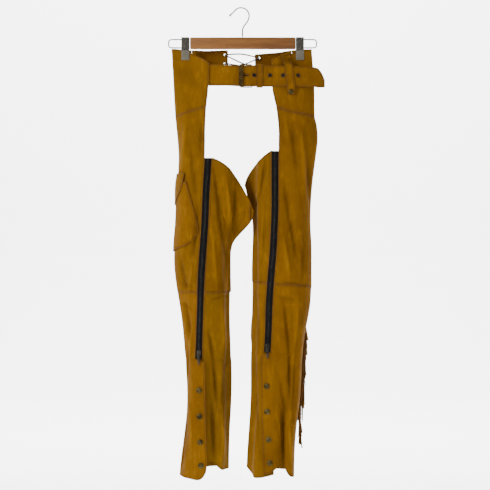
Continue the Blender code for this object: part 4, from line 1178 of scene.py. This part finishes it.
# %% Patch
PATCH_MIDDLE = (0.012, -0.1670)
PATCH_SIZE = (0.026, 0.026)
PATCH_THICK = 1.2 * MM
PATCH_GAP = 0.2 * MM
PATCH_LEANS = (0.0, 0.004, -0.004, 0.008, -0.008)


def back_of_belt(tree, x, z):
    """The belt's rearmost Y near a place, so that the patch passes behind the hole's rim too."""
    hits = [tree.ray_cast(Vector((x, 0.0, z + lean)), Vector((0, -1, 0)))[0] for lean in PATCH_LEANS]
    return max(hit.y for hit in hits if hit is not None)


bpy.ops.mesh.primitive_grid_add(x_subdivisions=12, y_subdivisions=12, size=1)
patch = bpy.context.object
patch.name = "belt_patch"
belt_tree = tree_of(shells["belt"])
for vertex in patch.data.vertices:
    x = PATCH_MIDDLE[0] + vertex.co.x * PATCH_SIZE[0]
    z = PATCH_MIDDLE[1] + vertex.co.y * PATCH_SIZE[1]
    vertex.co = Vector((x, back_of_belt(belt_tree, x, z) + PATCH_GAP, z))
pick_only(patch)
face_outwards()
if patch.data.polygons[0].normal.y < 0:
    patch.data.flip_normals()
apply(patch, "SOLIDIFY", thickness=PATCH_THICK, offset=1)
# An inside of 0.6 darkens the patch with painted shade.
for name, value in (("rim_mm", 5.0), ("inside", 0.6), ("fold_mm", 0.0), ("olive", 0.2)):
    store(patch, name, [value] * len(patch.data.vertices))
patch.data.materials.append(suede_leather)
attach(patch, "chaps")
print("patch made")

# %% [markdown]
# The cast and stamped metal parts and the wooden bar keep the solids' forms, with bevelled edges. Wires,
# the prong and the lace are round, so a Subdivision Surface finishes them.

# %% Hardware


def bevelled(node, name, width, material, body="chaps"):
    obj = copy_of(node, name)
    bpy.ops.mesh.select_all(action="SELECT")
    bpy.ops.mesh.dissolve_limited(angle_limit=0.03)
    bpy.ops.object.mode_set(mode="OBJECT")
    apply(obj, "BEVEL", width=width, segments=3, limit_method="ANGLE", angle_limit=0.6)
    bpy.ops.object.shade_smooth_by_angle(angle=0.6)
    finish_piece(obj, node, material, body)


def rounded(node, name, material, lost):
    """A round wire. Rounding its section takes off about the amount lost, which is put back."""
    obj = copy_of(node, name)
    quads_from_triangles()
    bpy.ops.object.mode_set(mode="OBJECT")
    apply(obj, "SUBSURF", levels=1, render_levels=1)
    for vertex in obj.data.vertices:
        vertex.co += vertex.normal * lost
    bpy.ops.object.shade_smooth()
    finish_piece(obj, node, material)


bevelled("buckle", "buckle_frame", 0.7 * MM, dark_brass)
for prefix in ("right", "left"):
    bevelled(f"{prefix}_slider", f"{prefix}_slider_body", 0.15 * MM, dark_metal)
    bevelled(f"{prefix}_pull", f"{prefix}_pull_tab", 0.25 * MM, dark_metal, f"{prefix}_pull")
    bevelled(f"clip_{prefix}", f"clip_{prefix}_steel", 0.25 * MM, clip_steel)
    rounded(f"hanger_wire_{prefix}", f"wire_{prefix}", nickel, 0.35 * MM)
bevelled("hanger_bar", "bar", 0.5 * MM, wood)
rounded("hook", "hook_wire", nickel, 0.5 * MM)
rounded("prong", "prong_bar", dark_brass, 0.2 * MM)
rounded("lace", "lace_cord", lace_leather, 0.5 * MM)
print("hardware made")

# %% [markdown]
# A plain studio: a pale floor that curves up into a wall, a strong lamp in front on the left, a weak one
# on the right, a large one that lights the wall, and a bright even sky, so that shadows stay soft.

# %% Studio
FLOOR_SIZE = (40, 28)
WALL_HEIGHT = 14
bpy.ops.mesh.primitive_plane_add(size=1, location=(0, -5, -1.45))
floor = bpy.context.object
floor.name = "floor"
bpy.ops.object.mode_set(mode="EDIT")
bpy.ops.transform.resize(value=(*FLOOR_SIZE, 1), center_override=(0, -5, 0))
select_where(floor, "EDGE", lambda edge: all(vertex.co.y > 0 for vertex in edge.verts))
bpy.ops.mesh.extrude_region_move(TRANSFORM_OT_translate={"value": (0, 0, WALL_HEIGHT)})
bpy.ops.object.mode_set(mode="OBJECT")
face_outwards()
apply(floor, "BEVEL", width=1.0, segments=8, limit_method="ANGLE")
backdrop = Look("pale backdrop", 0.9)
backdrop.set("Base Color", rgb(250, 250, 250))
floor.data.materials.append(backdrop.material)

world = bpy.data.worlds.new("studio")
world.use_nodes = True
world.node_tree.nodes["Background"].inputs["Color"].default_value = (1, 1, 1, 1)
world.node_tree.nodes["Background"].inputs["Strength"].default_value = 0.75
bpy.context.scene.world = world


def lamp(name, place, aim, size, power):
    data = bpy.data.lights.new(name, "AREA")
    data.size = size
    data.energy = power
    obj = bpy.data.objects.new(name, data)
    obj.location = place
    obj.rotation_euler = (Vector(aim) - Vector(place)).to_track_quat("-Z", "Y").to_euler()
    bpy.context.scene.collection.objects.link(obj)


lamp("key", (-2.4, -1.9, 0.8), (0, 0, -0.6), 0.9, 90)
lamp("fill", (2.4, -2.4, 0.2), (0, 0, -0.6), 1.6, 8)
lamp("wall", (0, 4.5, 4.0), (0, 7.5, -0.6), 6.0, 2400)
print("studio ready")
